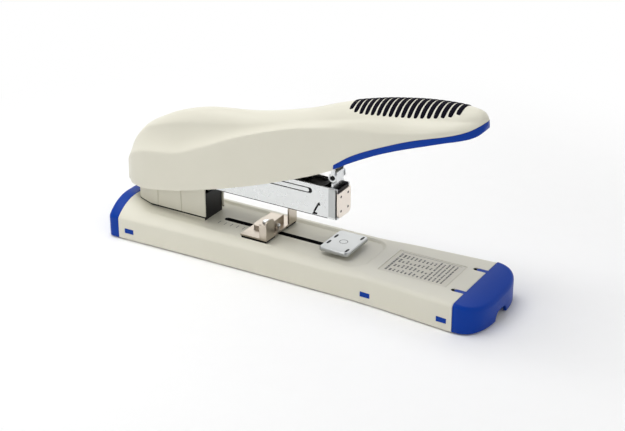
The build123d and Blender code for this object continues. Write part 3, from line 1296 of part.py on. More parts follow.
with BuildPart() as guide_clamp:
    block(guide_neck, (-GUIDE_CLAMP_HALF, GUIDE_CLAMP_HALF), (guide_top_z, clamp_top_z))
    fillet(guide_clamp.edges().filter_by(Axis.Z), GUIDE_STOP_CORNER)
    post(guide_neck_x, 0, (guide_top_z, clamp_top_z), GUIDE_RIVET_RADIUS, Mode.SUBTRACT)
keep(guide_clamp, "guide_clamp")

with BuildPart() as guide_rivet:
    post(guide_neck_x, 0, (keeper_z, clamp_top_z), GUIDE_RIVET_RADIUS)
    post(guide_neck_x, 0, (clamp_top_z, clamp_top_z + GUIDE_SHEET), GUIDE_RIVET_RADIUS + GUIDE_SHEET)
    fillet(guide_rivet.faces().sort_by(Axis.Z)[-1].edges(), GUIDE_SHEET / 2)
keep(guide_rivet, "guide_rivet")

with BuildPart() as guide_stud:
    stud_x = GUIDE_STOP_X - GUIDE_STUD_BACK
    ball_z = guide_top_z + GUIDE_STUD_HEIGHT
    post(stud_x, 0, (GUIDE_FOOT_Z, ball_z), GUIDE_STUD_RADIUS)
    with Locations((stud_x, 0, ball_z)):
        Sphere(GUIDE_BALL_RADIUS)
keep(guide_stud, "guide_stud")
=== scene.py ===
# %% [markdown]
# A heavy-duty desk stapler: moulded base and handle, a plated steel magazine between them.
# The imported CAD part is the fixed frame, so every piece made here is placed in its metres.
# Shapes that the eye follows, the moulded covers, are made again as fine smooth meshes.
# Small steel parts keep their CAD shape and get rounded edges and a real finish.

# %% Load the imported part
import json
import math
import random

import bmesh
import bpy
import numpy as np
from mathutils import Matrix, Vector


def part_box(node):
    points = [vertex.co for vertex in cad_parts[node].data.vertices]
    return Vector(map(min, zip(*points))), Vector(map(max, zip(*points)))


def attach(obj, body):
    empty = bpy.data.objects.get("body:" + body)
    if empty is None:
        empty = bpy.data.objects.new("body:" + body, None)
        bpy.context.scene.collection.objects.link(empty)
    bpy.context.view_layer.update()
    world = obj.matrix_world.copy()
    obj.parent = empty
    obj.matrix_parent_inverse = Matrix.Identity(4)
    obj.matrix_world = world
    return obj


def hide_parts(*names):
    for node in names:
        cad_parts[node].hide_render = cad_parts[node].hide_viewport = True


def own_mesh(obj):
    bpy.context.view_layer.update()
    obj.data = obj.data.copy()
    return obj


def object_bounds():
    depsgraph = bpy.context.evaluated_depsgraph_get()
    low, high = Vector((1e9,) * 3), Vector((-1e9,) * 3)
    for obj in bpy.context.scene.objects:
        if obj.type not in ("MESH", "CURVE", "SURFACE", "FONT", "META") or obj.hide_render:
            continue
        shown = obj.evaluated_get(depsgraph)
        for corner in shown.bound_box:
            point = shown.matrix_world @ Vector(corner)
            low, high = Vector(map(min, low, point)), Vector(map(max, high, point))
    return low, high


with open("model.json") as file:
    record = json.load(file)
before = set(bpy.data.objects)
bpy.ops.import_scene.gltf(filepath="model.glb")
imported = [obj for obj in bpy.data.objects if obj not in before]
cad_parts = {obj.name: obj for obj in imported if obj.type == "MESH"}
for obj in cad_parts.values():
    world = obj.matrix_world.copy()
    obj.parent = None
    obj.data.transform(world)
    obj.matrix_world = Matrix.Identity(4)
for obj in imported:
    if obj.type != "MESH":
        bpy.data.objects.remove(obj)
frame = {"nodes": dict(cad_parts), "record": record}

cad_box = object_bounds()
nodes = frame["nodes"]

# %% [markdown]
# The camera stands where the photographer's did: to the front right, looking down on the base.
# Its angle, distance and lens were fitted to straight edges of the base, so no shift is needed.

# %% Camera
MM = 0.001
PHOTO_WIDTH_PX = 625
FOCAL_PX = 1543.7
SENSOR_MM = 36.0
AZIMUTH, ELEVATION = math.radians(30.7), math.radians(25.5)
CAMERA_DISTANCE = 1.049
CAMERA_TARGET = Vector((0.00375, 0.0, 0.0386))

camera = bpy.data.objects.new("camera", bpy.data.cameras.new("camera"))
bpy.context.scene.collection.objects.link(camera)
back = Vector(
    (
        math.sin(AZIMUTH) * math.cos(ELEVATION),
        -math.cos(AZIMUTH) * math.cos(ELEVATION),
        math.sin(ELEVATION),
    )
)
camera.location = CAMERA_TARGET + back * CAMERA_DISTANCE
camera.rotation_euler = back.to_track_quat("Z", "Y").to_euler()
camera.data.lens = SENSOR_MM * FOCAL_PX / PHOTO_WIDTH_PX
camera.data.sensor_width = SENSOR_MM
bpy.context.scene.camera = camera
bpy.context.scene.view_settings.view_transform = "Standard"
print("lens mm", round(camera.data.lens, 1))

# %% [markdown]
# Every finish starts from a colour as it is seen, written as sRGB hex, and turned to linear light.
# One small function adds a shader node with its settings and links, so that a material reads
# as a list of what it is made of.

# %% Colour and node helpers


def linear(hex_colour):
    """sRGB hex to the linear colour that a shader socket takes."""
    channels = [int(hex_colour[i : i + 2], 16) / 255 for i in (1, 3, 5)]
    return [c / 12.92 if c <= 0.04045 else ((c + 0.055) / 1.055) ** 2.4 for c in channels] + [1.0]


def add_node(tree, kind, settings=(), links=()):
    """Add a shader node; settings go to its sockets or properties, links are (node, output) pairs."""
    node = tree.nodes.new("ShaderNode" + kind)
    for key, value in dict(settings).items():
        if isinstance(key, str) and hasattr(node, key):
            setattr(node, key, value)
        else:
            node.inputs[key].default_value = value
    for key, (source, output) in dict(links).items():
        tree.links.new(source.outputs[output], node.inputs[key])
    return node


def new_material(name):
    """An empty node material, its tree and the coordinates that its patterns lie on."""
    material = bpy.data.materials.new(name)
    material.use_nodes = True
    material.node_tree.nodes.clear()
    return material, material.node_tree, add_node(material.node_tree, "TexCoord")


def per_metre(size_mm):
    """Texture scale that makes one feature of a pattern about this large."""
    return 1.0 / (size_mm * MM)


def two_shades(tree, place, size_mm, light_hex, dark_hex, detail=3.0):
    """A colour that drifts between two close shades, and the noise that it follows."""
    noise = add_node(
        tree, "TexNoise", {"Scale": per_metre(size_mm), "Detail": detail}, {"Vector": (place, "Object")}
    )
    shades = {"data_type": "RGBA", 6: linear(dark_hex), 7: linear(light_hex)}
    return add_node(tree, "Mix", shades, {0: (noise, "Fac")}), noise


# most of a noise lies between these two values
NOISE_LOW, NOISE_HIGH = 0.3, 0.7


def worked_surface(tree, shade, sheen, roughness, relief, strength, depth_mm, settings):
    """Shader whose roughness follows one noise and whose bump follows another."""
    low, high = roughness
    blur = add_node(
        tree,
        "MapRange",
        {"From Min": NOISE_LOW, "From Max": NOISE_HIGH, "To Min": low, "To Max": high},
        {"Value": (sheen, "Fac")},
    )
    bump = add_node(
        tree, "Bump", {"Strength": strength, "Distance": depth_mm * MM}, {"Height": (relief, "Fac")}
    )
    links = {"Base Color": (shade, 2), "Roughness": (blur, "Result"), "Normal": (bump, "Normal")}
    shader = add_node(tree, "BsdfPrincipled", settings, links)
    add_node(tree, "OutputMaterial", {}, {"Surface": (shader, "BSDF")})


print("white in linear light", linear("#FFFFFF"))

# %% [markdown]
# The covers are moulded ABS, taken from a spark-eroded mould. That gives the eye an even, soft
# sheen with a fine grain in it, and a colour that drifts very slightly from place to place.
# The real grain is about a quarter of a millimetre; it is drawn at half a millimetre to show.

# %% Moulded ABS
GRAIN_MM = 0.5
DRIFT_MM = 40.0
GRAIN_BUMP = 0.35
GRAIN_SHEEN = (-0.05, 0.06)
ABS_IOR = 1.53


def moulded_abs(name, light_hex, dark_hex, roughness, grain_depth, gloss=0.3):
    """Textured moulding in two close shades of one colour; its grain shades part of its gloss."""
    material, tree, place = new_material(name)
    shade, _ = two_shades(tree, place, DRIFT_MM, light_hex, dark_hex)
    grain = add_node(
        tree,
        "TexNoise",
        {"Scale": per_metre(GRAIN_MM), "Detail": 2.0, "Roughness": 0.55},
        {"Vector": (place, "Object")},
    )
    sheen = [roughness + step for step in GRAIN_SHEEN]
    settings = {"IOR": ABS_IOR, "Specular IOR Level": gloss}
    worked_surface(tree, shade, grain, sheen, grain, GRAIN_BUMP, grain_depth, settings)
    return material


cream_abs = moulded_abs("cream_abs_moulded", "#E4E1D2", "#DEDBCB", 0.42, 0.02)
blue_abs = moulded_abs("blue_abs_moulded", "#053FA4", "#033796", 0.36, 0.02, 0.12)
# real black plastic, and also the colour of black strips that stand in as painted shade in gaps, holes and
# slits
black_acetal_and_shade = moulded_abs("black_acetal_moulded", "#1B1B1D", "#151517", 0.4, 0.02, 0.2)
grip_rubber = moulded_abs("grip_rubber_moulded", "#0B091A", "#080613", 0.7, 0.03, 0.05)
foot_rubber = moulded_abs("foot_rubber_moulded", "#232323", "#1A1A1A", 0.75, 0.06, 0.15)
print("moulded finishes", [m.name for m in bpy.data.materials if m.name.endswith("_moulded")])

# %% [markdown]
# The magazine, its head, the anvil and the guide are sheet steel, rolled and then plated with zinc.
# Rolling leaves fine lines along the strip. Plating makes it bright, with faint clouds of haze.
# The lines are about a tenth of a millimetre apart; they are drawn at half a millimetre to show.

# %% Plated and blackened steel
ROLL_LINE_MM = 0.5
ROLL_LENGTH_MM = 30.0
ROLL_BUMP = 0.05
HAZE_MM = 6.0
HAZE_SHEEN = (-0.04, 0.05)


def sheet_steel(name, light_hex, dark_hex, roughness, line_depth):
    """Rolled steel with lines along the object's length and clouds of haze."""
    material, tree, place = new_material(name)
    shade, haze = two_shades(tree, place, HAZE_MM, light_hex, dark_hex, 2.0)
    stretch = add_node(
        tree,
        "Mapping",
        {"Scale": (per_metre(ROLL_LENGTH_MM), per_metre(ROLL_LINE_MM), per_metre(ROLL_LINE_MM))},
        {"Vector": (place, "Object")},
    )
    lines = add_node(tree, "TexNoise", {"Scale": 1.0, "Detail": 2.0}, {"Vector": (stretch, "Vector")})
    sheen = [roughness + step for step in HAZE_SHEEN]
    worked_surface(tree, shade, haze, sheen, lines, ROLL_BUMP, line_depth, {"Metallic": 1.0})
    return material


zinc_steel = sheet_steel("zinc_plated_steel", "#E6E8E8", "#DADCDC", 0.28, 0.01)
bright_nickel = sheet_steel("bright_nickel_steel", "#F5ECE2", "#EBE1D6", 0.34, 0.01)
nickel_steel = sheet_steel("nickel_plated_steel", "#D2C8BB", "#C3B9AC", 0.32, 0.01)
satin_steel = sheet_steel("satin_zinc_steel", "#C6C8C7", "#B9BBBB", 0.36, 0.01)
spring_steel = sheet_steel("drawn_spring_steel", "#B4B4B2", "#A2A2A0", 0.32, 0.01)
phosphated_steel = sheet_steel("phosphated_steel", "#161616", "#0F0F0F", 0.65, 0.02)
# black oxide steel, also the colour of the painted shade in the anvil's hollows and round its post
black_steel = sheet_steel("black_oxide_steel", "#2A2A2B", "#1E1E1F", 0.42, 0.015)
print("plated finishes", zinc_steel.name, bright_nickel.name, nickel_steel.name, satin_steel.name)

# %% [markdown]
# A moulding has no sharp line on it, so its outline is drawn with plain points first and then
# softened: each point is averaged with its neighbours along the line, which rounds every corner.
# Lines along the object, such as the height of the rim, are smooth curves through a few sizes.

# %% Lines and lofts
SAME_POINT = 0.002


def smooth(x, points):
    """Smooth curve through (x, value) points that never overshoots them."""
    xs = np.array([p[0] for p in points], float)
    ys = np.array([p[1] for p in points], float)
    steps = np.diff(ys) / np.diff(xs)
    slopes = np.concatenate(([steps[0]], np.zeros(len(steps) - 1), [steps[-1]]))
    for i, (left, right) in enumerate(zip(steps, steps[1:]), start=1):
        slopes[i] = 0.0 if left * right <= 0 else 2 * left * right / (left + right)
    x = np.clip(np.asarray(x, float), xs[0], xs[-1])
    i = np.clip(np.searchsorted(xs, x, side="right") - 1, 0, len(steps) - 1)
    span = xs[i + 1] - xs[i]
    t = (x - xs[i]) / span
    start = (1 + 2 * t) * (1 - t) ** 2 * ys[i] + t * (1 - t) ** 2 * span * slopes[i]
    return start + t * t * (3 - 2 * t) * ys[i + 1] + t * t * (t - 1) * span * slopes[i + 1]


def bow(start, middle, end, count=12):
    """Points of a curve from start to end that passes through middle."""
    start, middle, end = (np.array(p, float) for p in (start, middle, end))
    control = 2 * middle - (start + end) / 2
    t = np.linspace(0, 1, count)[:, None]
    return (1 - t) ** 2 * start + 2 * t * (1 - t) * control + t**2 * end


def even_points(line, count):
    """The same line with points at even distances."""
    line = np.asarray(line, float)
    along = np.concatenate(([0], np.cumsum(np.linalg.norm(np.diff(line, axis=0), axis=1))))
    at = np.linspace(0, along[-1], count)
    return np.stack([np.interp(at, along, line[:, k]) for k in range(line.shape[1])], axis=1)


def soften(line, radius):
    """Round the corners of an even line, leaving its ends where they are."""
    step = np.linalg.norm(np.diff(line, axis=0), axis=1).mean()
    reach = max(1, int(3 * radius / step))
    weights = np.exp(-0.5 * (np.arange(-reach, reach + 1) * step / radius) ** 2)
    weights /= weights.sum()
    before = 2 * line[0] - line[reach:0:-1]
    after = 2 * line[-1] - line[-2 : -reach - 2 : -1]
    padded = np.concatenate((before, line, after))
    return np.stack([np.convolve(padded[:, k], weights, "valid") for k in range(line.shape[1])], axis=1)


def with_mirror(right):
    """A right-hand line, carried on by its mirror image."""
    return np.concatenate((right, (right * (-1, 1))[-2::-1]))


def piece_from(name, points_mm, faces, sharp_deg=40):
    """Mesh object from points in millimetres, smooth apart from its sharp edges."""
    mesh = bpy.data.meshes.new(name)
    mesh.from_pydata([tuple(float(c) * MM for c in p) for p in points_mm], [], faces)
    finish_mesh(mesh, sharp_deg)
    piece = bpy.data.objects.new(name, mesh)
    bpy.context.scene.collection.objects.link(piece)
    return piece


def finish_mesh(mesh, sharp_deg):
    """Merge doubled points, turn faces outward and shade smooth."""
    work = bmesh.new()
    work.from_mesh(mesh)
    bmesh.ops.remove_doubles(work, verts=work.verts, dist=SAME_POINT * MM)
    bmesh.ops.dissolve_degenerate(work, edges=work.edges, dist=SAME_POINT * MM)
    bmesh.ops.recalc_face_normals(work, faces=work.faces)
    work.to_mesh(mesh)
    work.free()
    mesh.shade_smooth()
    mesh.set_sharp_from_angle(angle=math.radians(sharp_deg))


def loft(rings, closed_ring=True, end_caps=True):
    """Points and faces of a skin through rings with equal counts of points."""
    count = len(rings[0])
    points = [p for ring in rings for p in ring]
    spans = count if closed_ring else count - 1
    faces = []
    for row in range(len(rings) - 1):
        a, b = row * count, (row + 1) * count
        for k in range(spans):
            n = (k + 1) % count
            faces.append((a + k, a + n, b + n, b + k))
    if end_caps:
        faces.append(tuple(range(count)))
        faces.append(tuple(range((len(rings) - 1) * count, len(rings) * count)))
    return points, faces


def prism(outline, low, high, axis="Z"):
    """Points and faces of a straight solid on an outline, along one axis."""
    order = {"X": (2, 0, 1), "Y": (0, 2, 1), "Z": (0, 1, 2)}[axis]
    rings = []
    for level in (low, high):
        flat = [(a, b, level) for a, b in outline]
        rings.append([tuple(p[k] for k in order) for p in flat])
    return loft(rings)


def rectangle(low, high):
    """Corner points of a rectangle."""
    return [(low[0], low[1]), (high[0], low[1]), (high[0], high[1]), (low[0], high[1])]


def centred(x, y, length, width):
    """Corner points of a rectangle round its middle."""
    return rectangle((x - length / 2, y - width / 2), (x + length / 2, y + width / 2))


def moved(outline, along, across):
    """The same outline at another place."""
    return [(a + along, b + across) for a, b in outline]


def slot_outline(low, high, width, count=10):
    """Points of a long slot with round ends, along the first axis."""
    radius = width / 2
    turn = np.linspace(-math.pi / 2, math.pi / 2, count)
    front = [(high - radius + radius * math.cos(t), radius * math.sin(t)) for t in turn]
    rear = [(low + radius - radius * math.cos(t), -radius * math.sin(t)) for t in turn]
    return front + rear


def joined(*solids):
    """Several solids' points and faces in one list."""
    points, faces = [], []
    for some_points, some_faces in solids:
        shift = len(points)
        points += list(some_points)
        faces += [tuple(i + shift for i in face) for face in some_faces]
    return points, faces


def carve(piece, cutter_solids, sharp_deg=40):
    """Cut solids out of a piece for good."""
    cutter = piece_from("cutter", *joined(*cutter_solids))
    cut = piece.modifiers.new("cut", "BOOLEAN")
    cut.operation, cut.solver, cut.object = "DIFFERENCE", "EXACT", cutter
    apply_modifiers(piece)
    finish_mesh(piece.data, sharp_deg)
    bpy.data.objects.remove(cutter)


def apply_modifiers(piece):
    """Replace a piece's mesh by what its modifiers make of it."""
    bpy.context.view_layer.update()
    made = piece.evaluated_get(bpy.context.evaluated_depsgraph_get())
    mesh = bpy.data.meshes.new_from_object(made)
    piece.modifiers.clear()
    piece.data = mesh


def dress(piece, material, body, slot_name, *replaced):
    """Give a piece its finish, its body and the CAD nodes that it stands for."""
    piece.data.materials.clear()
    piece.data.materials.append(material)
    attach(piece, body)
    if replaced:
        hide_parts(*replaced)


def dressed(name, solids, *finish):
    """A piece made of some solids and dressed at once."""
    piece = piece_from(name, *joined(*solids))
    dress(piece, *finish)
    return piece


def box_mm(node):
    """Lowest and highest corner of a CAD node, in millimetres."""
    return [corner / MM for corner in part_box(node)]


print("pivot pin from", *box_mm("pivot_pin"))

# %% [markdown]
# The base housing is one long moulding: a vertical side, a ridge, a slope up to the rim, and a
# shallow tray let into the top. It could be boxes with bevels, but its width and rim change all
# along, so it is lofted through close sections, and the tray is pressed in by a smooth mask.

# %% Sizes of the base
base_low, base_high = box_mm("base_housing")
SEAM_BACK = 1.2
REAR_SEAM, FRONT_SEAM = base_low.x, base_high.x - SEAM_BACK
FRONT_HALF = base_high.y
WAIST_HALF = FRONT_HALF - 5.0
REAR_HALF = FRONT_HALF - 1.8
UNDERSIDE = base_low.z
TAIL_TOP = base_high.z
PLATEAU = 20.8
FLOOR = 19.0
FLOOR_THICKNESS = 2.4
WALL = 2.5
WAIST_X = FRONT_SEAM - 81.8
TAIL_LENGTH = 20.0
TRAY_HALF = 21.5
TRAY_REAR, TRAY_FRONT = REAR_SEAM + 15.0, FRONT_SEAM - 73.8
TRAY_CORNER = 11.0
TRAY_SLOPE = 0.9
TRAY_FADE = 55.0
half_line = (
    (REAR_SEAM, REAR_HALF),
    (-66.0, WAIST_HALF + 1.2),
    (WAIST_X, WAIST_HALF),
    (FRONT_SEAM, FRONT_HALF),
)
ridge_line = (
    (REAR_SEAM, 15.8),
    (WAIST_X - 45, 17.2),
    (WAIST_X - 7, 17.5),
    (WAIST_X + 27, 18.6),
    (FRONT_SEAM, 18.6),
)
rim_top_line = (
    (REAR_SEAM, TAIL_TOP),
    (REAR_SEAM + 0.4 * TAIL_LENGTH, (TAIL_TOP + PLATEAU) / 2),
    (REAR_SEAM + TAIL_LENGTH, PLATEAU),
    (FRONT_SEAM, PLATEAU),
)
rim_line = (
    (REAR_SEAM, REAR_HALF - 23.2),
    (REAR_SEAM + 0.4 * TAIL_LENGTH, REAR_HALF - 17.2),
    (REAR_SEAM + TAIL_LENGTH, TRAY_HALF + 1.0),
    (WAIST_X - 7, TRAY_HALF + 1.6),
    (WAIST_X + 29, WAIST_HALF - 2.8),
    (FRONT_SEAM, FRONT_HALF - 3.4),
)
bulge_line = ((REAR_SEAM, 2.6), (REAR_SEAM + TAIL_LENGTH, 0.7), (FRONT_SEAM, 0.5))
print("base from", round(REAR_SEAM, 1), "to", round(FRONT_SEAM, 1), "mm")

# %% Base housing
SECTION_POINTS = 171
BASE_ROWS = 266
MOULD_ROUND = 0.8
SEAM_ROUND = 0.3


def base_section(x):
    """Line over the base at one place, from one lower edge to the other."""
    half, ridge, rim, top, bulge = (
        float(smooth(x, line)) for line in (half_line, ridge_line, rim_line, rim_top_line, bulge_line)
    )
    across, up = half - rim, top - ridge
    reach = math.hypot(across, up)
    middle = ((half + rim) / 2 + bulge * up / reach, (ridge + top) / 2 + bulge * across / reach)
    side = np.concatenate(
        ([(half, UNDERSIDE)], bow((half, ridge), middle, (rim, top)), [(0.0, top)])
    )
    return soften(even_points(with_mirror(side), SECTION_POINTS), MOULD_ROUND)


def tray_mask(x, y):
    """1 inside the tray, 0 outside, with a soft slope between and a slow rise at the rear."""
    dx = np.abs(x - (TRAY_REAR + TRAY_FRONT) / 2) - (TRAY_FRONT - TRAY_REAR) / 2 + TRAY_CORNER
    dy = np.abs(y) - TRAY_HALF + TRAY_CORNER
    outside = np.hypot(np.maximum(dx, 0), np.maximum(dy, 0)) + np.minimum(np.maximum(dx, dy), 0)
    t = np.clip((TRAY_CORNER - outside) / (2 * TRAY_SLOPE) + 0.5, 0, 1)
    rise = np.clip((x - TRAY_REAR) / TRAY_FADE, 0, 1)
    return t * t * (3 - 2 * t) * rise * rise * (3 - 2 * rise)


def base_ring(x):
    """Closed ring of the base at one place, with the tray pressed in."""
    line = base_section(x)
    y, z = line[:, 0], line[:, 1]
    z = np.where(z > FLOOR, z + (FLOOR - z) * tray_mask(x, y), z)
    return np.stack((np.full(len(y), x), y, z), axis=1)


def shrunk(ring, amount):
    """Ring drawn in towards its middle, for a rounded end."""
    middle = ring.mean(axis=0)
    offset = ring - middle
    reach = np.linalg.norm(offset, axis=1, keepdims=True)
    return middle + offset * (1 - amount / reach)


base_rows = np.linspace(REAR_SEAM + SEAM_ROUND, FRONT_SEAM - SEAM_ROUND, BASE_ROWS)
base_rings = [base_ring(x) for x in base_rows]
end_rings = []
for place, ring in ((REAR_SEAM, base_rings[0]), (FRONT_SEAM, base_rings[-1])):
    end_ring = shrunk(ring, SEAM_ROUND)
    end_ring[:, 0] = place
    end_rings.append(end_ring)
base = piece_from("base_moulding", *loft([end_rings[0]] + base_rings + [end_rings[1]]))


def hollow_ring(x):
    """Ring of the hollow under the base at one place."""
    half = float(smooth(x, half_line)) - WALL
    low = float(smooth(x, ridge_line)) - 2 * WALL
    inner = min(float(smooth(x, rim_line)), TRAY_HALF) - WALL
    ceiling = FLOOR - FLOOR_THICKNESS
    right = [(half, UNDERSIDE - 1), (half, low), (inner, ceiling)]
    return [(x, y, z) for y, z in right] + [(x, -y, z) for y, z in reversed(right)]


HOLLOW_ROWS = 40
hollow_rows = np.linspace(REAR_SEAM + WALL, FRONT_SEAM - WALL, HOLLOW_ROWS)
carve(base, [loft([hollow_ring(x) for x in hollow_rows])])
print("base moulding faces", len(base.data.polygons))

# %% [markdown]
# Openings are cut after the loft, so that each keeps a crisp edge, as a steel insert in the mould
# leaves it: the guide's slot with its depth marks, the label's recess, two slots for the front
# cap's tongues and six windows in the sides, where the cover's snap tabs show.

# %% Openings in the base
label_low, label_high = box_mm("label_panel")
LABEL_PLAY = 0.3
GUIDE_SLOT_REAR, GUIDE_SLOT_FRONT = REAR_SEAM + 69.5, FRONT_SEAM - 113.8
GUIDE_SLOT_WIDTH = 4.6
SLOT_SHADE_SKIN = 0.15
MARK_COUNT, MARK_PITCH, MARK_WIDTH = 7, 5.0, 0.5
MARK_Y, MARK_LENGTH, MARK_DEPTH = -7.0, 4.0, 0.3
TONGUE_Y, TONGUE_SLOT_WIDTH, TONGUE_SLOT_LENGTH = 16.8, 3.8, 9.6
TONGUE_SLOT_DEPTH = 1.4
TONGUE_HOLE, TONGUE_HOLE_DEPTH = 1.3, 7.0
WINDOW_PLACES = (REAR_SEAM + 9.0, FRONT_SEAM - 65.4, FRONT_SEAM - 7.6)
WINDOW_LENGTH, WINDOW_HEIGHT, WINDOW_Z = 7.6, 3.8, 7.2
ABOVE, OVERCUT = 5.0, 2.0
# the least gap or overlap between two faces
HAIR = 0.05

slot_edge = slot_outline(GUIDE_SLOT_REAR, GUIDE_SLOT_FRONT, GUIDE_SLOT_WIDTH)
openings = [
    prism(slot_edge, FLOOR - FLOOR_THICKNESS - 1, FLOOR + ABOVE),
    prism(
        rectangle(
            (label_low.x - LABEL_PLAY, label_low.y - LABEL_PLAY),
            (label_high.x + LABEL_PLAY, label_high.y + LABEL_PLAY),
        ),
        label_low.z,
        PLATEAU + ABOVE,
    ),
]
mark_places = [GUIDE_SLOT_REAR + k * MARK_PITCH for k in range(MARK_COUNT)]
mark_outlines = [centred(x, MARK_Y, MARK_WIDTH, MARK_LENGTH) for x in mark_places]
openings += [prism(outline, FLOOR - MARK_DEPTH, FLOOR + ABOVE) for outline in mark_outlines]
tongue_rear = FRONT_SEAM - TONGUE_SLOT_LENGTH
tongue_slot = slot_outline(tongue_rear, FRONT_SEAM + OVERCUT, TONGUE_SLOT_WIDTH)
hole_x = tongue_rear + TONGUE_HOLE
hole = slot_outline(-TONGUE_HOLE, TONGUE_HOLE, 2 * TONGUE_HOLE)
tongue_holes = []
for side in (-1, 1):
    slot_place = moved(tongue_slot, 0, side * TONGUE_Y)
    openings.append(prism(slot_place, PLATEAU - TONGUE_SLOT_DEPTH, PLATEAU + ABOVE))
    hole_place = moved(hole, hole_x, side * TONGUE_Y)
    tongue_holes.append(prism(hole_place, PLATEAU - TONGUE_HOLE_DEPTH, PLATEAU + ABOVE))
    for x in WINDOW_PLACES:
        wall_y = side * (float(smooth(x, half_line)) - WALL / 2)
        tab_window = centred(x, WINDOW_Z, WINDOW_LENGTH, WINDOW_HEIGHT)
        openings.append(prism(tab_window, wall_y - WALL, wall_y + WALL, axis="Y"))
carve(base, openings)
carve(base, tongue_holes)
# A thin black skin on the slot's walls is painted shade: it keeps the slot dark.
slot_inner = slot_outline(
    GUIDE_SLOT_REAR + SLOT_SHADE_SKIN, GUIDE_SLOT_FRONT - SLOT_SHADE_SKIN, GUIDE_SLOT_WIDTH - 2 * SLOT_SHADE_SKIN
)
slot_shade_rows = [
    [(x, y, z) for x, y in line]
    for line, z in (
        (slot_edge, FLOOR - FLOOR_THICKNESS),
        (slot_edge, FLOOR - HAIR),
        (slot_inner, FLOOR - HAIR),
        (slot_inner, FLOOR - FLOOR_THICKNESS),
    )
]
slot_painted_shade = loft(slot_shade_rows + slot_shade_rows[:1], end_caps=False)
dressed("guide_slot_painted_shade", [slot_painted_shade], black_acetal_and_shade, "base", "black_plastic")
dress(base, cream_abs, "base", "cream_plastic", "base_housing")
print("openings cut", len(openings))

# %% [markdown]
# Each end of the base carries a blue cap. The front one has a flat top that falls a little to the
# front, a rounded edge, a finger notch below and two tongues that hook into the base.
# It is built in level outlines, each between an ellipse and a rectangle, drawn in towards the top.

# %% Front cap
cap_low, cap_high = box_mm("front_cap")
CAP_FRONT = cap_high.x - SEAM_BACK
CAP_GAP = 0.35
CAP_REAR = FRONT_SEAM + CAP_GAP
CAP_ROUNDNESS = 2.8
CAP_DROP = 4.3
CAP_EDGE = 2.4
CAP_WALL = 2.2
CAP_SLANT = 0.35
CAP_POINTS, CAP_EDGE_ROWS, CAP_TOP_ROWS = 161, 9, 14
# how far in and how high the rings of the cap's foot and side are
cap_foot = ((0.5, 0.0), (0.15, 0.15), (0.0, 0.5), (0.0, 5.0), (0.0, 10.0))
NOTCH_HALF, NOTCH_HEIGHT, NOTCH_SHOULDER = 8.5, 6.0, 1.25
TONGUE_PLAY, TONGUE_THICK = 0.25, 1.3
CUP_WALL, CUP_TOP, CUP_FLOOR, CUP_BOTTOM = 0.2, 0.3, 2.0, 2.3
FINE_STEPS = 400


def drawn_in(line, amount):
    """Open line moved inward, to the left of its run."""
    run = np.gradient(line, axis=0)
    run /= np.linalg.norm(run, axis=1, keepdims=True)
    return line + np.stack((-run[:, 1], run[:, 0]), axis=1) * amount


turn = np.linspace(-math.pi / 2, math.pi / 2, FINE_STEPS)
cap_round = 2 / CAP_ROUNDNESS
cap_line = even_points(
    np.stack(
        (
            CAP_REAR + (CAP_FRONT - CAP_REAR) * np.abs(np.cos(turn)) ** cap_round,
            FRONT_HALF * np.sign(np.sin(turn)) * np.abs(np.sin(turn)) ** cap_round,
        ),
        axis=1,
    ),
    CAP_POINTS,
)


def cap_top(x):
    """Height of the cap's top, which falls off to the front."""
    share = (x - CAP_REAR) / (CAP_FRONT - CAP_REAR)
    return PLATEAU - CAP_DROP * (CAP_SLANT * share + (1 - CAP_SLANT) * share**2)


cap_rings = []
for inset, height in cap_foot:
    outline = drawn_in(cap_line, inset)
    outline[[0, -1], 0] = CAP_REAR
    cap_rings.append([(x, y, cap_low.z + height) for x, y in outline])
for turn in np.linspace(0, math.pi / 2, CAP_EDGE_ROWS):
    outline = drawn_in(cap_line, CAP_EDGE * (1 - math.cos(turn)))
    outline[[0, -1], 0] = CAP_REAR
    cap_rings.append([(x, y, cap_top(x) - CAP_EDGE * (1 - math.sin(turn))) for x, y in outline])
edge_row = len(cap_rings) - 1
for share in np.linspace(1, 0, CAP_TOP_ROWS)[1:]:
    flat = [(CAP_REAR + (x - CAP_REAR) * share, y) for x, y in outline]
    cap_rings.append([(x, y, cap_top(x)) for x, y in flat])
cap_points, cap_faces = loft(cap_rings, closed_ring=False, end_caps=False)
count = len(cap_line)
near_edge = [row * count for row in range(edge_row + 1)]
far_edge = [first + count - 1 for first in near_edge]
top_line = range(len(cap_points) - count + 1, len(cap_points) - 1)
cap_faces += [tuple(range(count)), tuple(near_edge[::-1] + far_edge + list(top_line)[::-1])]
front_cap = piece_from("front_cap_moulding", cap_points, cap_faces)

cap_room = [(x, y) for x, y in drawn_in(cap_line, CAP_WALL) if x > CAP_REAR + CAP_WALL]
notch_arc = [
    (NOTCH_HALF * math.cos(t), cap_low.z + NOTCH_HEIGHT * min(1.0, NOTCH_SHOULDER * math.sin(t)))
    for t in np.linspace(0, math.pi, 25)
]
below = cap_low.z - OVERCUT
notch = [(NOTCH_HALF, below)] + notch_arc + [(-NOTCH_HALF, below)]
carve(front_cap, [prism(cap_room, below, PLATEAU - CAP_DROP - CAP_WALL)])
carve(front_cap, [prism(notch, CAP_FRONT - ABOVE, CAP_FRONT + ABOVE, axis="X")])

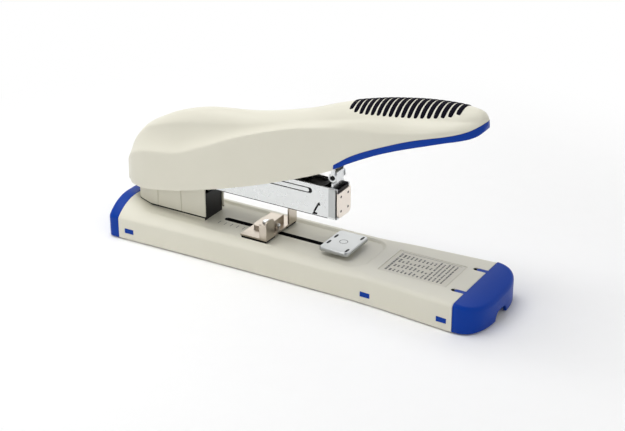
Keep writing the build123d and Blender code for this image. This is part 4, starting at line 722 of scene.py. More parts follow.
dress(front_cap, blue_abs, "base", "blue_plastic", "front_cap")
half_width = TONGUE_SLOT_WIDTH / 2 - TONGUE_PLAY
root = CAP_REAR + CAP_GAP
tongue_width = TONGUE_SLOT_WIDTH - 2 * TONGUE_PLAY
tongue_tip = slot_outline(tongue_rear + 2 * TONGUE_HOLE, FRONT_SEAM + OVERCUT, tongue_width)
tongue = [(root, -half_width), (root, half_width)] + [(x, y) for x, y in tongue_tip if x <= FRONT_SEAM]
# Black cups in the tongue holes are painted shade that keeps the holes dark.
inner_radius = TONGUE_HOLE - CUP_WALL
cup_rows = (
    (TONGUE_HOLE, CUP_BOTTOM),
    (TONGUE_HOLE, CUP_TOP),
    (inner_radius, CUP_TOP),
    (inner_radius, CUP_FLOOR),
)
tongues, painted_shade_cups = [], []
for side in (-1, 1):
    tongues.append(prism(moved(tongue, 0, side * TONGUE_Y), PLATEAU - TONGUE_THICK, PLATEAU - HAIR))
    rings = []
    for radius, depth in cup_rows:
        circle = moved(slot_outline(-radius, radius, 2 * radius), hole_x, side * TONGUE_Y)
        rings.append([(x, y, PLATEAU - depth) for x, y in circle])
    painted_shade_cups.append(loft(rings))
dressed("front_cap_tongues", tongues, blue_abs, "base", "blue_plastic")
dressed("tongue_hole_painted_shade_cups", painted_shade_cups, black_acetal_and_shade, "base", "black_plastic")
print("front cap to x", round(CAP_FRONT, 1))

# %% [markdown]
# The rear cap carries on the arched section of the base's tail and turns it over into a flat end.
# Each ring is the base's own last section, drawn in along a quarter circle.

# %% Rear cap
rear_low, rear_high = box_mm("rear_cap")
REAR_END = rear_low.x
REAR_CORNER = 4.2
REAR_EDGE = 1.6
FIRST_TURN, TURN_ROWS = 0.12, 12
REAR_ROOM_TOP, REAR_ROOM_CORNER, REAR_ROOM_BOW = 13.0, 4.0, 0.5
tail_section = base_section(REAR_SEAM)


def rear_ring(depth, inset_side, inset_top):
    """The tail's section at some depth behind the seam, narrowed and lowered."""
    half = np.abs(tail_section[:, 0]).max()
    y = tail_section[:, 0] * (1 - inset_side / half)
    z = rear_low.z + (tail_section[:, 1] - UNDERSIDE) * (TAIL_TOP - rear_low.z - inset_top) / (
        TAIL_TOP - UNDERSIDE
    )
    return np.stack((np.full(len(y), REAR_SEAM - depth), y, z), axis=1)


rear_depth = REAR_SEAM - REAR_END
rear_rings = [
    rear_ring(depth, inset, inset)
    for depth, inset in ((0.0, SEAM_ROUND), (SEAM_ROUND, 0.0), (rear_depth - REAR_CORNER, 0.0))
]
for turn in np.linspace(FIRST_TURN, 1.0, TURN_ROWS) * math.pi / 2:
    depth = rear_depth - REAR_CORNER * (1 - math.sin(turn))
    top_turn = max(0.0, (depth - rear_depth + REAR_EDGE) / REAR_EDGE)
    lowered = REAR_EDGE * (1 - math.sqrt(max(0.0, 1 - top_turn**2)))
    rear_rings.append(rear_ring(depth, REAR_CORNER * (1 - math.cos(turn)), lowered))
rear_cap = piece_from("rear_cap_moulding", *loft(rear_rings))
rear_room = [
    (x, y * (rear_high.y - 2 * CAP_WALL) / rear_high.y)
    for x, y in (
        (REAR_SEAM - CAP_WALL, -rear_high.y),
        (REAR_END + REAR_ROOM_CORNER, -rear_high.y + REAR_ROOM_CORNER),
        (REAR_END + CAP_WALL + REAR_ROOM_BOW, 0),
        (REAR_END + REAR_ROOM_CORNER, rear_high.y - REAR_ROOM_CORNER),
        (REAR_SEAM - CAP_WALL, rear_high.y),
    )
]
carve(rear_cap, [prism(rear_room, rear_low.z - OVERCUT, REAR_ROOM_TOP)])
dress(rear_cap, blue_abs, "base", "blue_plastic", "rear_cap")
print("rear cap to x", round(REAR_END, 1))

# %% [markdown]
# The handle is a long saddle: flat sides up to a shoulder, a facet from the shoulder to a crest,
# and a gently crowned top. Its sections are written ahead of and above the pivot.
# The shoulder is a soft crease: it comes from the section's own corner, softened a little, and
# towards the rear the facet above it is scooped, which is what makes the crease show.

# %% Handle sections
pin_low, pin_high = box_mm("pivot_pin")
PIVOT_X, PIVOT_Z = (pin_low.x + pin_high.x) / 2, (pin_low.z + pin_high.z) / 2
# ahead, low edge, its half width, shoulder half width, shoulder, crest half width, crest, top
handle_sections = (
    (-33.0, -24.2, 7.0, 7.0, -18.6, 3.0, -15.4, -13.4),
    (-31.8, -24.6, 9.6, 9.4, -10.6, 5.1, -6.0, -1.8),
    (-29.0, -24.7, 11.9, 11.6, -6.5, 6.1, 0.3, 5.0),
    (-25.0, -25.0, 15.4, 15.0, -2.8, 7.2, 6.5, 9.9),
    (-18.5, -25.0, 18.2, 17.6, 1.2, 8.3, 13.6, 16.8),
    (-11.0, -24.7, 19.8, 19.0, 3.6, 8.9, 19.5, 21.9),
    (13.0, -20.8, 20.2, 18.8, 6.8, 9.7, 27.1, 33.3),
    (37.0, -14.9, 20.0, 18.4, 16.6, 9.9, 31.8, 39.8),
    (70.0, -5.3, 19.0, 17.8, 31.5, 10.4, 37.6, 43.6),
    (110.0, 8.9, 18.2, 17.2, 45.1, 11.0, 48.3, 53.0),
    (138.0, 21.0, 18.0, 17.4, 51.1, 12.3, 54.9, 63.2),
    (155.0, 30.7, 18.6, 18.2, 53.6, 13.6, 59.4, 68.4),
    (177.0, 42.1, 20.2, 20.6, 56.9, 14.4, 65.3, 73.3),
    (205.0, 53.5, 21.6, 21.8, 62.7, 14.7, 69.5, 77.2),
    (225.0, 59.8, 18.5, 18.2, 67.2, 12.2, 71.7, 78.15),
    (234.0, 61.8, 13.7, 13.5, 68.2, 9.0, 72.1, 77.7),
    (238.0, 63.2, 9.9, 9.7, 68.6, 6.5, 71.9, 76.8),
    (240.0, 64.6, 6.8, 6.7, 68.9, 4.5, 71.5, 75.4),
    (241.0, 66.0, 4.3, 4.2, 69.3, 2.8, 71.2, 74.2),
    (241.6, 68.4, 0.3, 0.3, 70.0, 0.2, 70.9, 72.3),
)
trim_line = (
    (142.0, 26.7),
    (155.0, 35.8),
    (177.0, 47.2),
    (205.0, 58.9),
    (225.0, 64.5),
    (234.0, 67.4),
    (239.0, 69.9),
    (241.6, 71.6),
)
TRIM_REAR = trim_line[0][0]
TRIM_STEP = 0.6
# how far the facet bulges, or with a minus is scooped, by place ahead of the pivot
facet_line = (
    (-33.0, 0.2),
    (-20.0, -0.8),
    (20.0, -1.8),
    (60.0, -1.3),
    (110.0, -0.3),
    (160.0, 0.5),
    (225.0, 0.6),
    (241.6, 0.0),
)
CROWN_OUT, CROWN_UP = 0.55, 0.74
HANDLE_ROUND = 0.6
HANDLE_WALL = 2.4
HANDLE_POINTS = 121
handle_lines = [
    tuple((section[0], section[k]) for section in handle_sections) for k in range(1, 8)
]


def handle_line(ahead):
    """Line over the handle at one place, from one lower edge to the other, above the pivot."""
    low, low_half, side_half, side, crest_half, crest, top = (
        float(smooth(ahead, line)) for line in handle_lines
    )
    bulge = float(smooth(ahead, facet_line))
    middle = ((side_half + crest_half) / 2 + bulge, (side + crest) / 2 + bulge)
    crown_middle = (crest_half * CROWN_OUT, crest + CROWN_UP * (top - crest))
    right = np.concatenate(
        (
            [(low_half, low)],
            bow((side_half, side), middle, (crest_half, crest)),
            bow((crest_half, crest), crown_middle, (0, top))[1:],
        )
    )
    return soften(even_points(with_mirror(right), 2 * HANDLE_POINTS - 1), HANDLE_ROUND)


def crossing(right, edge):
    """Number of a side line's first point above an edge height, and where the line crosses it."""
    first = int(np.argmax(right[:, 1] >= edge))
    a, b = right[max(0, first - 1)], right[max(1, first)]
    return first, a + (b - a) * (edge - a[1]) / (b[1] - a[1])


def cut_line(line, edge):
    """The part of a handle line above an edge height, with points at even distances."""
    right = line[: len(line) // 2 + 1]
    first, start = crossing(right, edge)
    if first > 0:
        right = np.concatenate(([start], right[first:]))
    return even_points(with_mirror(right), HANDLE_POINTS)


def shell_edge(ahead):
    """Height of the cream shell's lower edge: its own, and over the trim the trim's line."""
    low = float(smooth(ahead, handle_lines[0]))
    over = float(np.clip((ahead - TRIM_REAR + TRIM_STEP) / TRIM_STEP, 0, 1))
    return low + over * (float(smooth(ahead, trim_line)) - low)


REAR_TIP, FRONT_TIP = handle_sections[0][0], handle_sections[-1][0]
FINE_ROWS, TOP_ROWS = 4000, 190
NOSE_LENGTH, NOSE_ROWS = 8, 30
fine = np.linspace(REAR_TIP, FRONT_TIP, FINE_ROWS)
silhouette = np.stack((fine, smooth(fine, handle_lines[6])), axis=1)
top_rows = even_points(silhouette, TOP_ROWS)[:, 0]
nose_rows = FRONT_TIP - NOSE_LENGTH * np.linspace(1, 0, NOSE_ROWS) ** 2
handle_rows = np.unique(np.concatenate((top_rows, [TRIM_REAR - TRIM_STEP, TRIM_REAR], nose_rows)))
print("handle rows", len(handle_rows))

# %% Handle shell
LEAST_ROOM = 0.2
ROOM_REAR, ROOM_FRONT, ROOM_BELOW, ROOM_STEP = 3, 12, 8.0, 3


def in_place(ahead, line):
    """Handle line as points in the object's own frame."""
    return np.stack((np.full(len(line), PIVOT_X + ahead), line[:, 0], PIVOT_Z + line[:, 1]), axis=1)


def inner_line(ahead, edge, below):
    """Line of the room inside the handle, let down past the lower edge."""
    line = cut_line(handle_line(ahead), edge)
    half, height = line[:, 0].max(), line[:, 1].max() - edge
    y = line[:, 0] * max(LEAST_ROOM, 1 - HANDLE_WALL / half)
    z = edge + (line[:, 1] - edge) * max(LEAST_ROOM, 1 - HANDLE_WALL / height)
    ends = [(y[0], edge - below)], [(y[-1], edge - below)]
    return np.concatenate((ends[0], np.stack((y, z), axis=1), ends[1]))


shell = piece_from(
    "handle_shell_moulding",
    *loft([in_place(a, cut_line(handle_line(a), shell_edge(a))) for a in handle_rows]),
)
inner_rows = [a for a in handle_rows if REAR_TIP + ROOM_REAR <= a <= FRONT_TIP - ROOM_FRONT]
room_rings = [in_place(a, inner_line(a, shell_edge(a), ROOM_BELOW)) for a in inner_rows[::ROOM_STEP]]
carve(shell, [loft(room_rings)])
dress(shell, cream_abs, "handle", "cream_plastic", "handle_shell")
print("handle shell faces", len(shell.data.polygons))

# %% [markdown]
# The blue trim closes the front of the handle from below. It is a second moulding that follows
# the shell's side line, with a rounded lower edge and a fine parting line under the shell.

# %% Handle trim
PARTING = 0.25
TRIM_ROUND = 0.9
TRIM_POINTS = 81
TRIM_FLOOR, TRIM_OPEN = 1.6, 3
TRIM_NOSE = 20


def trim_ring(ahead):
    """Closed ring of the trim at one place: down one side, along the bottom, up the other."""
    edge = float(smooth(ahead, trim_line)) - PARTING
    line = handle_line(ahead)
    right = line[: len(line) // 2 + 1]
    _, start = crossing(right, edge)
    low = right[0]
    path = np.array([start, low, low * (-1, 1), start * (-1, 1)])
    return soften(even_points(path, TRIM_POINTS), min(TRIM_ROUND, 0.25 * (edge - low[1])))


trim_rows = [a for a in handle_rows if a >= TRIM_REAR]
trim = piece_from("handle_trim_moulding", *loft([in_place(a, trim_ring(a)) for a in trim_rows]))


def trim_room(ahead):
    """Ring of the room inside the trim, open to the shell above."""
    ring = trim_ring(ahead)
    half = np.abs(ring[:, 0]).max() - HANDLE_WALL
    low, high = ring[:, 1].min() + TRIM_FLOOR, ring[:, 1].max() + TRIM_OPEN
    return np.array([(half, high), (half, low), (-half, low), (-half, high)])


room_rows = [a for a in trim_rows if a <= FRONT_TIP - TRIM_NOSE][::ROOM_STEP]
room_rows = [TRIM_REAR - TRIM_OPEN] + room_rows
carve(trim, [loft([in_place(a, trim_room(max(a, TRIM_REAR))) for a in room_rows])])
dress(trim, blue_abs, "handle", "blue_plastic", "handle_trim")
print("trim faces", len(trim.data.polygons))

# %% [markdown]
# Rubber ribs across the top of the handle make the grip. Together they fill a lens shape.
# Each rib is a bar with round ends that lies on the handle's crown, so its height is read
# from the handle's own line and its rounded top rises half a millimetre above it.

# %% Grip ribs
rib_low, rib_high = box_mm("grip_ribs")
RIB_COUNT = 18
RIB_PITCH = 4.44
RIB_WIDTH = 3.3
RIB_START = rib_low.x - 0.5
RIB_PROUD = 0.5
RIB_SUNK = 1.2
RIB_END = 6
RIB_POINTS = 81
# share of the rib's width, and height above the crown, from its foot to its top
rib_rows = (
    (1.0, -RIB_SUNK),
    (1.0, 0.1),
    (0.93, 0.33),
    (0.78, 0.45),
    (0.5, RIB_PROUD),
    (0.02, RIB_PROUD),
)
# half length of a rib by its distance ahead of the first
lens_line = (
    (0.0, 8.3),
    (4.4, 10.4),
    (8.9, 11.5),
    (18.0, 12.8),
    (31.0, 13.9),
    (45.0, rib_high.y),
    (58.0, 13.7),
    (67.0, 12.2),
    (71.0, 11.0),
    (75.5, 8.6),
)


def crown(x, y):
    """Height of the handle's top at a place."""
    line = handle_line(x - PIVOT_X)
    top = line[len(line) // 2 :][::-1]
    return PIVOT_Z + np.interp(-np.abs(y), top[:, 0], top[:, 1])


def rib(x):
    """Points and faces of one rib."""
    half, radius = float(smooth(x - RIB_START, lens_line)), RIB_WIDTH / 2
    around = np.linspace(0, 2 * math.pi, FINE_STEPS)
    across, along = np.cos(around), np.sin(around)
    outline = np.stack(
        (
            radius * np.sign(across) * np.abs(across) ** (2 / RIB_END),
            half * np.sign(along) * np.abs(along) ** (2 / RIB_END),
        ),
        axis=1,
    )
    outline = even_points(outline, RIB_POINTS)[:-1]
    along_spine = np.clip(outline[:, 1], radius - half, half - radius)
    spine = np.stack((np.zeros(len(outline)), along_spine), axis=1)
    rings = []
    for share, lift in rib_rows:
        flat = spine + (outline - spine) * share
        rings.append([(x + p[0], p[1], float(crown(x + p[0], p[1])) + lift) for p in flat])
    return loft(rings)


ribs = [rib(RIB_START + k * RIB_PITCH) for k in range(RIB_COUNT)]
dressed("grip_rib_set", ribs, grip_rubber, "handle", "grip_rubber", "grip_ribs")
print("ribs", RIB_COUNT, "longest mm", round(2 * rib_high.y, 1))

# %% [markdown]
# The label carries a plain chart: a ruled line and rows of short bars that stand for words and
# figures, printed dark grey on a film of the base's own cream.
# Each bar is a thin tile of ink, so the print has a crisp edge at any distance.
# The same ink fills the engraved depth marks beside the guide's slot.

# %% Label chart
INK_THICK = 0.03
TEXT_HEIGHT = 1.15
CHART_MARGIN = 2.6
ROW_PITCH = 2.9
CHART_COLUMNS = 4
WORD_GAP, LEAST_WORD = 0.55, 0.8
WORD_LENGTH = (1.0, 3.2)
SHORT_ROW = (0.4, 0.75)
FIRST_ROW, FULL_ROWS, HEAD_ROWS, HEAD_SCALE = 0.6, 6, 2, 1.3
RULE_FROM, RULE_TO = 0.7, 0.95
PRINT_TONE_MM = 2.0


def printed_film(name, light_hex, dark_hex):
    """Matt printed film with a slight unevenness of tone."""
    material, tree, place = new_material(name)
    shade, _ = two_shades(tree, place, PRINT_TONE_MM, light_hex, dark_hex)
    shader = add_node(tree, "BsdfPrincipled", {"Roughness": 0.5}, {"Base Color": (shade, 2)})
    add_node(tree, "OutputMaterial", {}, {"Surface": (shader, "BSDF")})
    return material


label_film = printed_film("label_film", "#DDD9CB", "#D5D1C2")
label_ink = printed_film("label_ink", "#5C5A56", "#4C4A46")


def tile(x0, y0, x1, y1):
    """A thin tile of ink on the label."""
    return prism(rectangle((x0, y0), (x1, y1)), label_high.z - INK_THICK, label_high.z + INK_THICK)


chance = random.Random(7)
chart_half = label_high.y - CHART_MARGIN
chart_rear, chart_front = label_low.x + CHART_MARGIN, label_high.x - CHART_MARGIN
row_count = int((chart_front - chart_rear) / ROW_PITCH)
tiles = []
for row in range(row_count):
    x = chart_rear + FIRST_ROW + row * ROW_PITCH
    full_row = row == 0 or row > row_count - FULL_ROWS
    height = TEXT_HEIGHT * (HEAD_SCALE if row < HEAD_ROWS else 1.0)
    column_width = 2 * chart_half / CHART_COLUMNS
    for column in range(CHART_COLUMNS):
        y = -chart_half + column * column_width
        end = y + (column_width - WORD_GAP if full_row else column_width * chance.uniform(*SHORT_ROW))
        while y < end - LEAST_WORD:
            word = min(chance.uniform(*WORD_LENGTH), end - y)
            tiles.append(tile(x, y, x + height, y + word))
            y += word + WORD_GAP
tiles.append(tile(chart_rear, chart_half + RULE_FROM, chart_front, chart_half + RULE_TO))
dressed("label_chart_print", tiles, label_ink, "base", "label")
mark_paint = [prism(outline, FLOOR - MARK_DEPTH - HAIR, FLOOR - HAIR) for outline in mark_outlines]
dressed("depth_mark_paint", mark_paint, label_ink, "base", "label")
print("ink tiles", len(tiles))

# %% [markdown]
# Black strips are painted shade here: one in the gap under the pedestal cover, one across its open front.
# Both are plain strips, but without them the cover seems to float.

# %% Painted shade under and across the pedestal cover
pedestal_low, pedestal_high = box_mm("pedestal_cover")
GAP_SHADE_HIGH = 22.4
GAP_SHADE_HEIGHT = 0.9
GAP_SHADE_PROUD = 0.06
GAP_SHADE_DEEP = 0.5
GAP_SHADE_SUNK, GAP_SHADE_UP = 0.3, 0.7
GAP_SHADE_END, GAP_SHADE_ROWS = 0.2, 40
PEDESTAL_CORNER = 2.4
FRONT_SHADE_THICK = 1.0
FRONT_SHADE_TOP = 39.0
FRONT_SHADE_SIDE, FRONT_SHADE_BACK, FRONT_SHADE_CORNER = 1.3, 1.2, 1.5
quarter = np.linspace(0, math.pi / 2, 7)


def surface_height(x, y):
    """Height of the base's top at a place."""
    ring = base_ring(x)
    right = ring[: len(ring) // 2 + 1]
    return float(np.interp(-y, -right[:, 1], right[:, 2]))


half = pedestal_high.y
bend = [
    (pedestal_low.x + PEDESTAL_CORNER * (1 - math.sin(t)), half - PEDESTAL_CORNER * (1 - math.cos(t)))
    for t in quarter
]
straight = np.linspace(pedestal_high.x - GAP_SHADE_END, pedestal_low.x + PEDESTAL_CORNER, GAP_SHADE_ROWS)
one_side = [(x, half) for x in straight] + bend[1:]
foot_line = np.array(one_side + [(x, -y) for x, y in reversed(one_side)])
outside, inside = drawn_in(foot_line, -GAP_SHADE_PROUD), drawn_in(foot_line, GAP_SHADE_DEEP)
# black strip round the cover's foot: painted shadow in the gap under it
gap_shade_rings = []
for (x, y), out, into in zip(foot_line, outside, inside):
    ground = surface_height(x, abs(y))
    low = max(ground - GAP_SHADE_SUNK, GAP_SHADE_HIGH - GAP_SHADE_HEIGHT)
    high = max(ground + GAP_SHADE_UP, GAP_SHADE_HIGH)
    gap_shade_rings.append([(*out, low), (*out, high), (*into, high), (*into, low)])
dressed("pedestal_gap_painted_shade", [loft(gap_shade_rings)], black_acetal_and_shade, "base", "black_plastic")

# black plate across the cover's open front: painted shade for its dark inside
front_shade_half = pedestal_high.y - FRONT_SHADE_SIDE
front_shade_x = pedestal_high.x - FRONT_SHADE_BACK
front_shade_outline = [
    (-front_shade_half, FLOOR + HAIR),
    (front_shade_half, FLOOR + HAIR),
    (front_shade_half, FRONT_SHADE_TOP - FRONT_SHADE_CORNER),
    (front_shade_half - FRONT_SHADE_CORNER, FRONT_SHADE_TOP),
    (FRONT_SHADE_CORNER - front_shade_half, FRONT_SHADE_TOP),
    (-front_shade_half, FRONT_SHADE_TOP - FRONT_SHADE_CORNER),
]
front_shade = prism(front_shade_outline, front_shade_x - FRONT_SHADE_THICK, front_shade_x, axis="X")
dressed("pedestal_front_painted_shade", [front_shade], black_acetal_and_shade, "base", "black_plastic")
print("gap_shade rings", len(gap_shade_rings))

# %% [markdown]
# The magazine is pressed from thin sheet. Its side has a long window with a bright rail in it, a
# sprung tab cut loose near the head and a dark line where the lower lip turns under.
# At the head a nickel face plate with four rivets sits between two folded flanges, with a dark
# slit on each side. Stamped edges are broken by a small bevel, which draws the light line on steel.
# The window's back, the gaps round the tab, the lip's line and the slits are thin black strips: painted
# shade.

# %% Magazine window, tab and head
magazine_low, magazine_high = box_mm("magazine_channel")
face_low, face_high = box_mm("face_plate")
EDGE_BREAK = 0.18
WINDOW_REAR, WINDOW_FRONT = PIVOT_X + 54.0, PIVOT_X + 120.5
WINDOW_HIGH, WINDOW_UP = 4.2, magazine_low.z + 17.4
WINDOW_DEEP, WINDOW_PLAY = 0.4, 0.1
RAIL_REAR, RAIL_FRONT, RAIL_LOWER = 0.8, 2.4, 1.5
RAIL_DEEP, RAIL_SUNK = 0.28, 0.02
SKIN, SKIN_DEEP = 0.03, 0.2
LIP_REAR, LIP_FRONT, LIP_HIGH = 50, 7, 0.5
SLIT_LOW, SLIT_TOP, SLIT_PROUD = 0.5, 4.4, 0.1
FACE_GAP, FACE_SET = 0.02, 0.1
FLANGE_SUNK, FLANGE_PROUD, FLANGE_FLAT = 0.1, 0.45, 0.22
FLANGE_LOW, FLANGE_TOP = 1.4, 0.4
HEAD_SHADE_SIDE, HEAD_SHADE_LOW, HEAD_SHADE_TOP, HEAD_SHADE_THICK = 0.7, 4, 1.6, 0.5
SHARP_EDGE_DEG = 50
FACE_HALF = magazine_high.y - 0.1
FACE_LOW, FACE_TOP = face_low.z + 1.0, face_high.z - 3.0
FACE_CORNER = 3.2
FLANGE_REAR, FLANGE_STEP, FLANGE_FRONT = face_low.x + 0.2, face_low.x + 2.4, magazine_high.x - 0.8
RIVET_Y, RIVET_RADIUS = 4.7, 1.0
RIVET_HEIGHTS = (magazine_low.z + 5.7, magazine_low.z + 16.2)
RIVET_SUNK = 0.2
# share of the rivet's radius, and how far forward, from its rim to its top
rivet_rows = ((1.0, 0.0), (1.0, 0.05), (0.85, 0.16), (0.5, 0.26), (0.05, 0.3))


def break_edges(item, width):
    """Small bevel on the sharp edges."""
    bevel = item.modifiers.new("edge", "BEVEL")
    bevel.width, bevel.segments = width * MM, 2
    bevel.limit_method, bevel.angle_limit = "ANGLE", math.radians(SHARP_EDGE_DEG)
    bevel.use_clamp_overlap = True


def both_sides(outline, inner, outer):
    """One flat shape on each side of the magazine, between two distances from its middle."""
    return [prism(outline, *sorted((side * inner, side * outer)), axis="Y") for side in (-1, 1)]


face = magazine_high.y
window_slot = slot_outline(
    WINDOW_REAR + WINDOW_PLAY, WINDOW_FRONT - WINDOW_PLAY, WINDOW_HIGH - 2 * WINDOW_PLAY
)
rail_slot = slot_outline(WINDOW_REAR + RAIL_REAR, WINDOW_FRONT - RAIL_FRONT, WINDOW_HIGH - RAIL_LOWER)
# dark gaps round the foot and the head of the sprung tab
tab_foot = ((8.4, 44.7), (12.3, 44.9), (12.7, 46.3), (10.8, 46.4), (10.1, 47.0))
tab_head = ((12.7, 52.0), (14.9, 52.0), (14.1, 54.5))
lip = rectangle(
    (magazine_low.x + LIP_REAR, magazine_low.z + HAIR),
    (magazine_high.x - LIP_FRONT, magazine_low.z + LIP_HIGH),
)
slit = rectangle(
    (FLANGE_FRONT, magazine_low.z + SLIT_LOW), (magazine_high.x + FACE_GAP, magazine_high.z - SLIT_TOP)
)
# black strips in the window, round the tab, along the lip and in the slits: painted shade
dark = both_sides(moved(window_slot, 0, WINDOW_UP), face - WINDOW_DEEP, face - RAIL_DEEP)
for outline, out in ((tab_foot, SKIN), (tab_head, SKIN), (lip, SKIN), (slit, SLIT_PROUD)):
    dark += both_sides(outline, face - SKIN_DEEP, face + out)
dressed("magazine_shadow_lines", dark, black_acetal_and_shade, "magazine", "black_plastic")
rails = both_sides(moved(rail_slot, 0, WINDOW_UP), face - RAIL_DEEP, face - RAIL_SUNK)
dressed("magazine_window_rail", rails, zinc_steel, "magazine", "plated_steel")
print("dark marks", len(dark))

# %% Magazine head
flange = [
    (FLANGE_REAR, face - FLANGE_SUNK),
    (FLANGE_FRONT, face - FLANGE_SUNK),
    (FLANGE_FRONT, face + FLANGE_PROUD),
    (FLANGE_STEP, face + FLANGE_PROUD),
    (FLANGE_STEP, face + FLANGE_FLAT),
    (FLANGE_REAR, face + FLANGE_FLAT),
]
flanges = [
    prism([(x, side * y) for x, y in flange], face_low.z + FLANGE_LOW, face_high.z - FLANGE_TOP)
    for side in (-1, 1)
]
head_flanges = dressed("head_flanges", flanges, satin_steel, "magazine", "plated_steel")
right = [(FACE_HALF, FACE_TOP)] + [
    (FACE_HALF - FACE_CORNER * (1 - math.cos(t)), FACE_LOW + FACE_CORNER * (1 - math.sin(t))) for t in quarter
]
face_outline = right + [(-y, z) for y, z in reversed(right)]
face_solid = prism(face_outline, magazine_high.x + FACE_GAP, face_high.x - FACE_SET, axis="X")
face_piece = dressed(
    "face_plate_stamping", [face_solid], bright_nickel, "magazine", "plated_steel", "face_plate"
)
break_edges(head_flanges, EDGE_BREAK / 2)
break_edges(face_piece, EDGE_BREAK)
# A black sheet across the channel's open end, behind the face plate, is painted shade for the head's dark
# inside.
head_shade = prism(
    rectangle((HEAD_SHADE_SIDE - face, FACE_LOW + HEAD_SHADE_LOW), (face - HEAD_SHADE_SIDE, FACE_TOP + HEAD_SHADE_TOP)),
    magazine_high.x - HEAD_SHADE_THICK,
    magazine_high.x,
    axis="X",
)
dressed("head_painted_shade", [head_shade], black_acetal_and_shade, "magazine", "black_plastic")


def dome(x, y, z):
    """Rounded rivet head that faces forward."""
    turns = np.linspace(0, 2 * math.pi, 25)[:-1]
    rings = []
    for share, lift in rivet_rows:
        radius = RIVET_RADIUS * share
        rings.append([(x + lift, y + radius * math.cos(t), z + radius * math.sin(t)) for t in turns])
    return loft(rings)


heads = [dome(face_high.x - RIVET_SUNK, side * RIVET_Y, z) for side in (-1, 1) for z in RIVET_HEIGHTS]
dressed("face_rivet_heads", heads, black_steel, "magazine", "black_steel", "face_rivets")
print("rivet heads", len(heads))

# %% [markdown]
# The anvil is a satin plate that turns on a riveted post. Pressed hollows curl the staple legs:
# a close pair at one end bends them inward and a wide pair at the other bends them outward.
# The hollows and the gap round the post are drawn as thin black ovals on the plate: painted shade.
# The depth guide is bent from one sheet: two stops with folded sides and a low wall between them.
# Two black blocks in the gap under its foot are painted shadow.

# %% Anvil shade marks and guide folds
anvil_low, anvil_high = box_mm("anvil_plate")
guide_low, guide_high = box_mm("guide_plate")
POST_RADIUS, POST_GAP = 2.6, 0.4
HOLLOW_BACK, HOLLOW_LONG, HOLLOW_WIDE = 8.6, 5.2, 1.9
HOLLOW_CLOSE, HOLLOW_APART, HOLLOW_PROUD = 5.0, 10.6, 0.02
FOLD_LENGTH, FOLD_THICK, FOLD_BELOW, FOLD_LAP = 4.6, 1.0, 2.6, 0.1
STOP_THICK, GUIDE_SHEET, GUIDE_WALL_THICK = 1.2, 1.1, 0.8
FOOT_SHADE_INNER, FOOT_SHADE_SIDE, FOOT_SHADE_END, FOOT_SHADE_UP = 8.0, 0.3, 0.5, 0.2
GUIDE_WALL_X, GUIDE_WALL_TOP, GUIDE_WALL_HALF = guide_high.x - 4.95, guide_low.z + 7.7, 9.7
turns = np.linspace(0, 2 * math.pi, 49)[:-1]
anvil_x = (anvil_low.x + anvil_high.x) / 2


def oval(x, y, long, wide, z):
    """Level oval of points."""
    return [(x + wide / 2 * math.cos(t), y + long / 2 * math.sin(t), z) for t in turns]


# dark ovals lying on the plate: painted shade in the hollows and round the post
low_z, high_z = anvil_high.z - HAIR, anvil_high.z + HOLLOW_PROUD
inner, outer = 2 * POST_RADIUS, 2 * (POST_RADIUS + POST_GAP)
ring_sizes = ((inner, low_z), (inner, high_z), (outer, high_z), (outer, low_z))
ring_rows = [oval(anvil_x, 0, size, size, z) for size, z in ring_sizes]
marks = [loft(ring_rows + ring_rows[:1], end_caps=False)]
for place, half in ((-HOLLOW_BACK, HOLLOW_CLOSE), (HOLLOW_BACK, HOLLOW_APART)):
    for side in (-1, 1):
        rows = [oval(anvil_x + place, side * half, HOLLOW_LONG, HOLLOW_WIDE, z) for z in (low_z, high_z)]
        marks.append(loft(rows))
dressed("anvil_hollow_painted_shade", marks, black_steel, "anvil", "black_steel")

# black blocks under the foot: painted shadow in the gap between the foot and the tray
folds, foot_shades = [], []
stop_rear = guide_high.x - STOP_THICK
fold_low = guide_low.z + GUIDE_SHEET
for side in (-1, 1):
    fold_y = sorted((side * guide_high.y, side * (guide_high.y - FOLD_THICK)))
    fold = rectangle((stop_rear - FOLD_LENGTH, fold_y[0]), (stop_rear + FOLD_LAP, fold_y[1]))
    folds.append(prism(fold, fold_low, guide_high.z - FOLD_BELOW))
    foot_shade_y = sorted((side * FOOT_SHADE_INNER, side * (guide_high.y - FOOT_SHADE_SIDE)))
    foot_shade = rectangle((guide_low.x + FOOT_SHADE_END, foot_shade_y[0]), (guide_high.x - FOOT_SHADE_END, foot_shade_y[1]))
    foot_shades.append(prism(foot_shade, FLOOR + FOOT_SHADE_UP, guide_low.z + HAIR))
low_wall = rectangle((GUIDE_WALL_X, -GUIDE_WALL_HALF), (GUIDE_WALL_X + GUIDE_WALL_THICK, GUIDE_WALL_HALF))
folds.append(prism(low_wall, fold_low, GUIDE_WALL_TOP))
break_edges(dressed("guide_folds", folds, nickel_steel, "guide", "plated_steel"), EDGE_BREAK)
dressed("guide_foot_painted_shadow", foot_shades, black_acetal_and_shade, "guide", "black_plastic")
print("guide folds", len(folds), "anvil marks", len(marks))

# %% [markdown]
# Two coil springs work out of sight: a long thin one on the rod pushes the staples forward, and a stout one
# lifts the handle. A sleeve would do for a hidden spring.
# Here each is a wire wound on a helix, just inside the box of its CAD spring.

# %% Coil springs
WIRE_SIDES, COIL_STEPS = 8, 20
PUSHER_COILS, PUSHER_WIRE, PUSHER_KEEP = 22, 0.6, 0.2
RETURN_COILS, RETURN_WIRE, RETURN_KEEP = 7, 1.0, 0.81


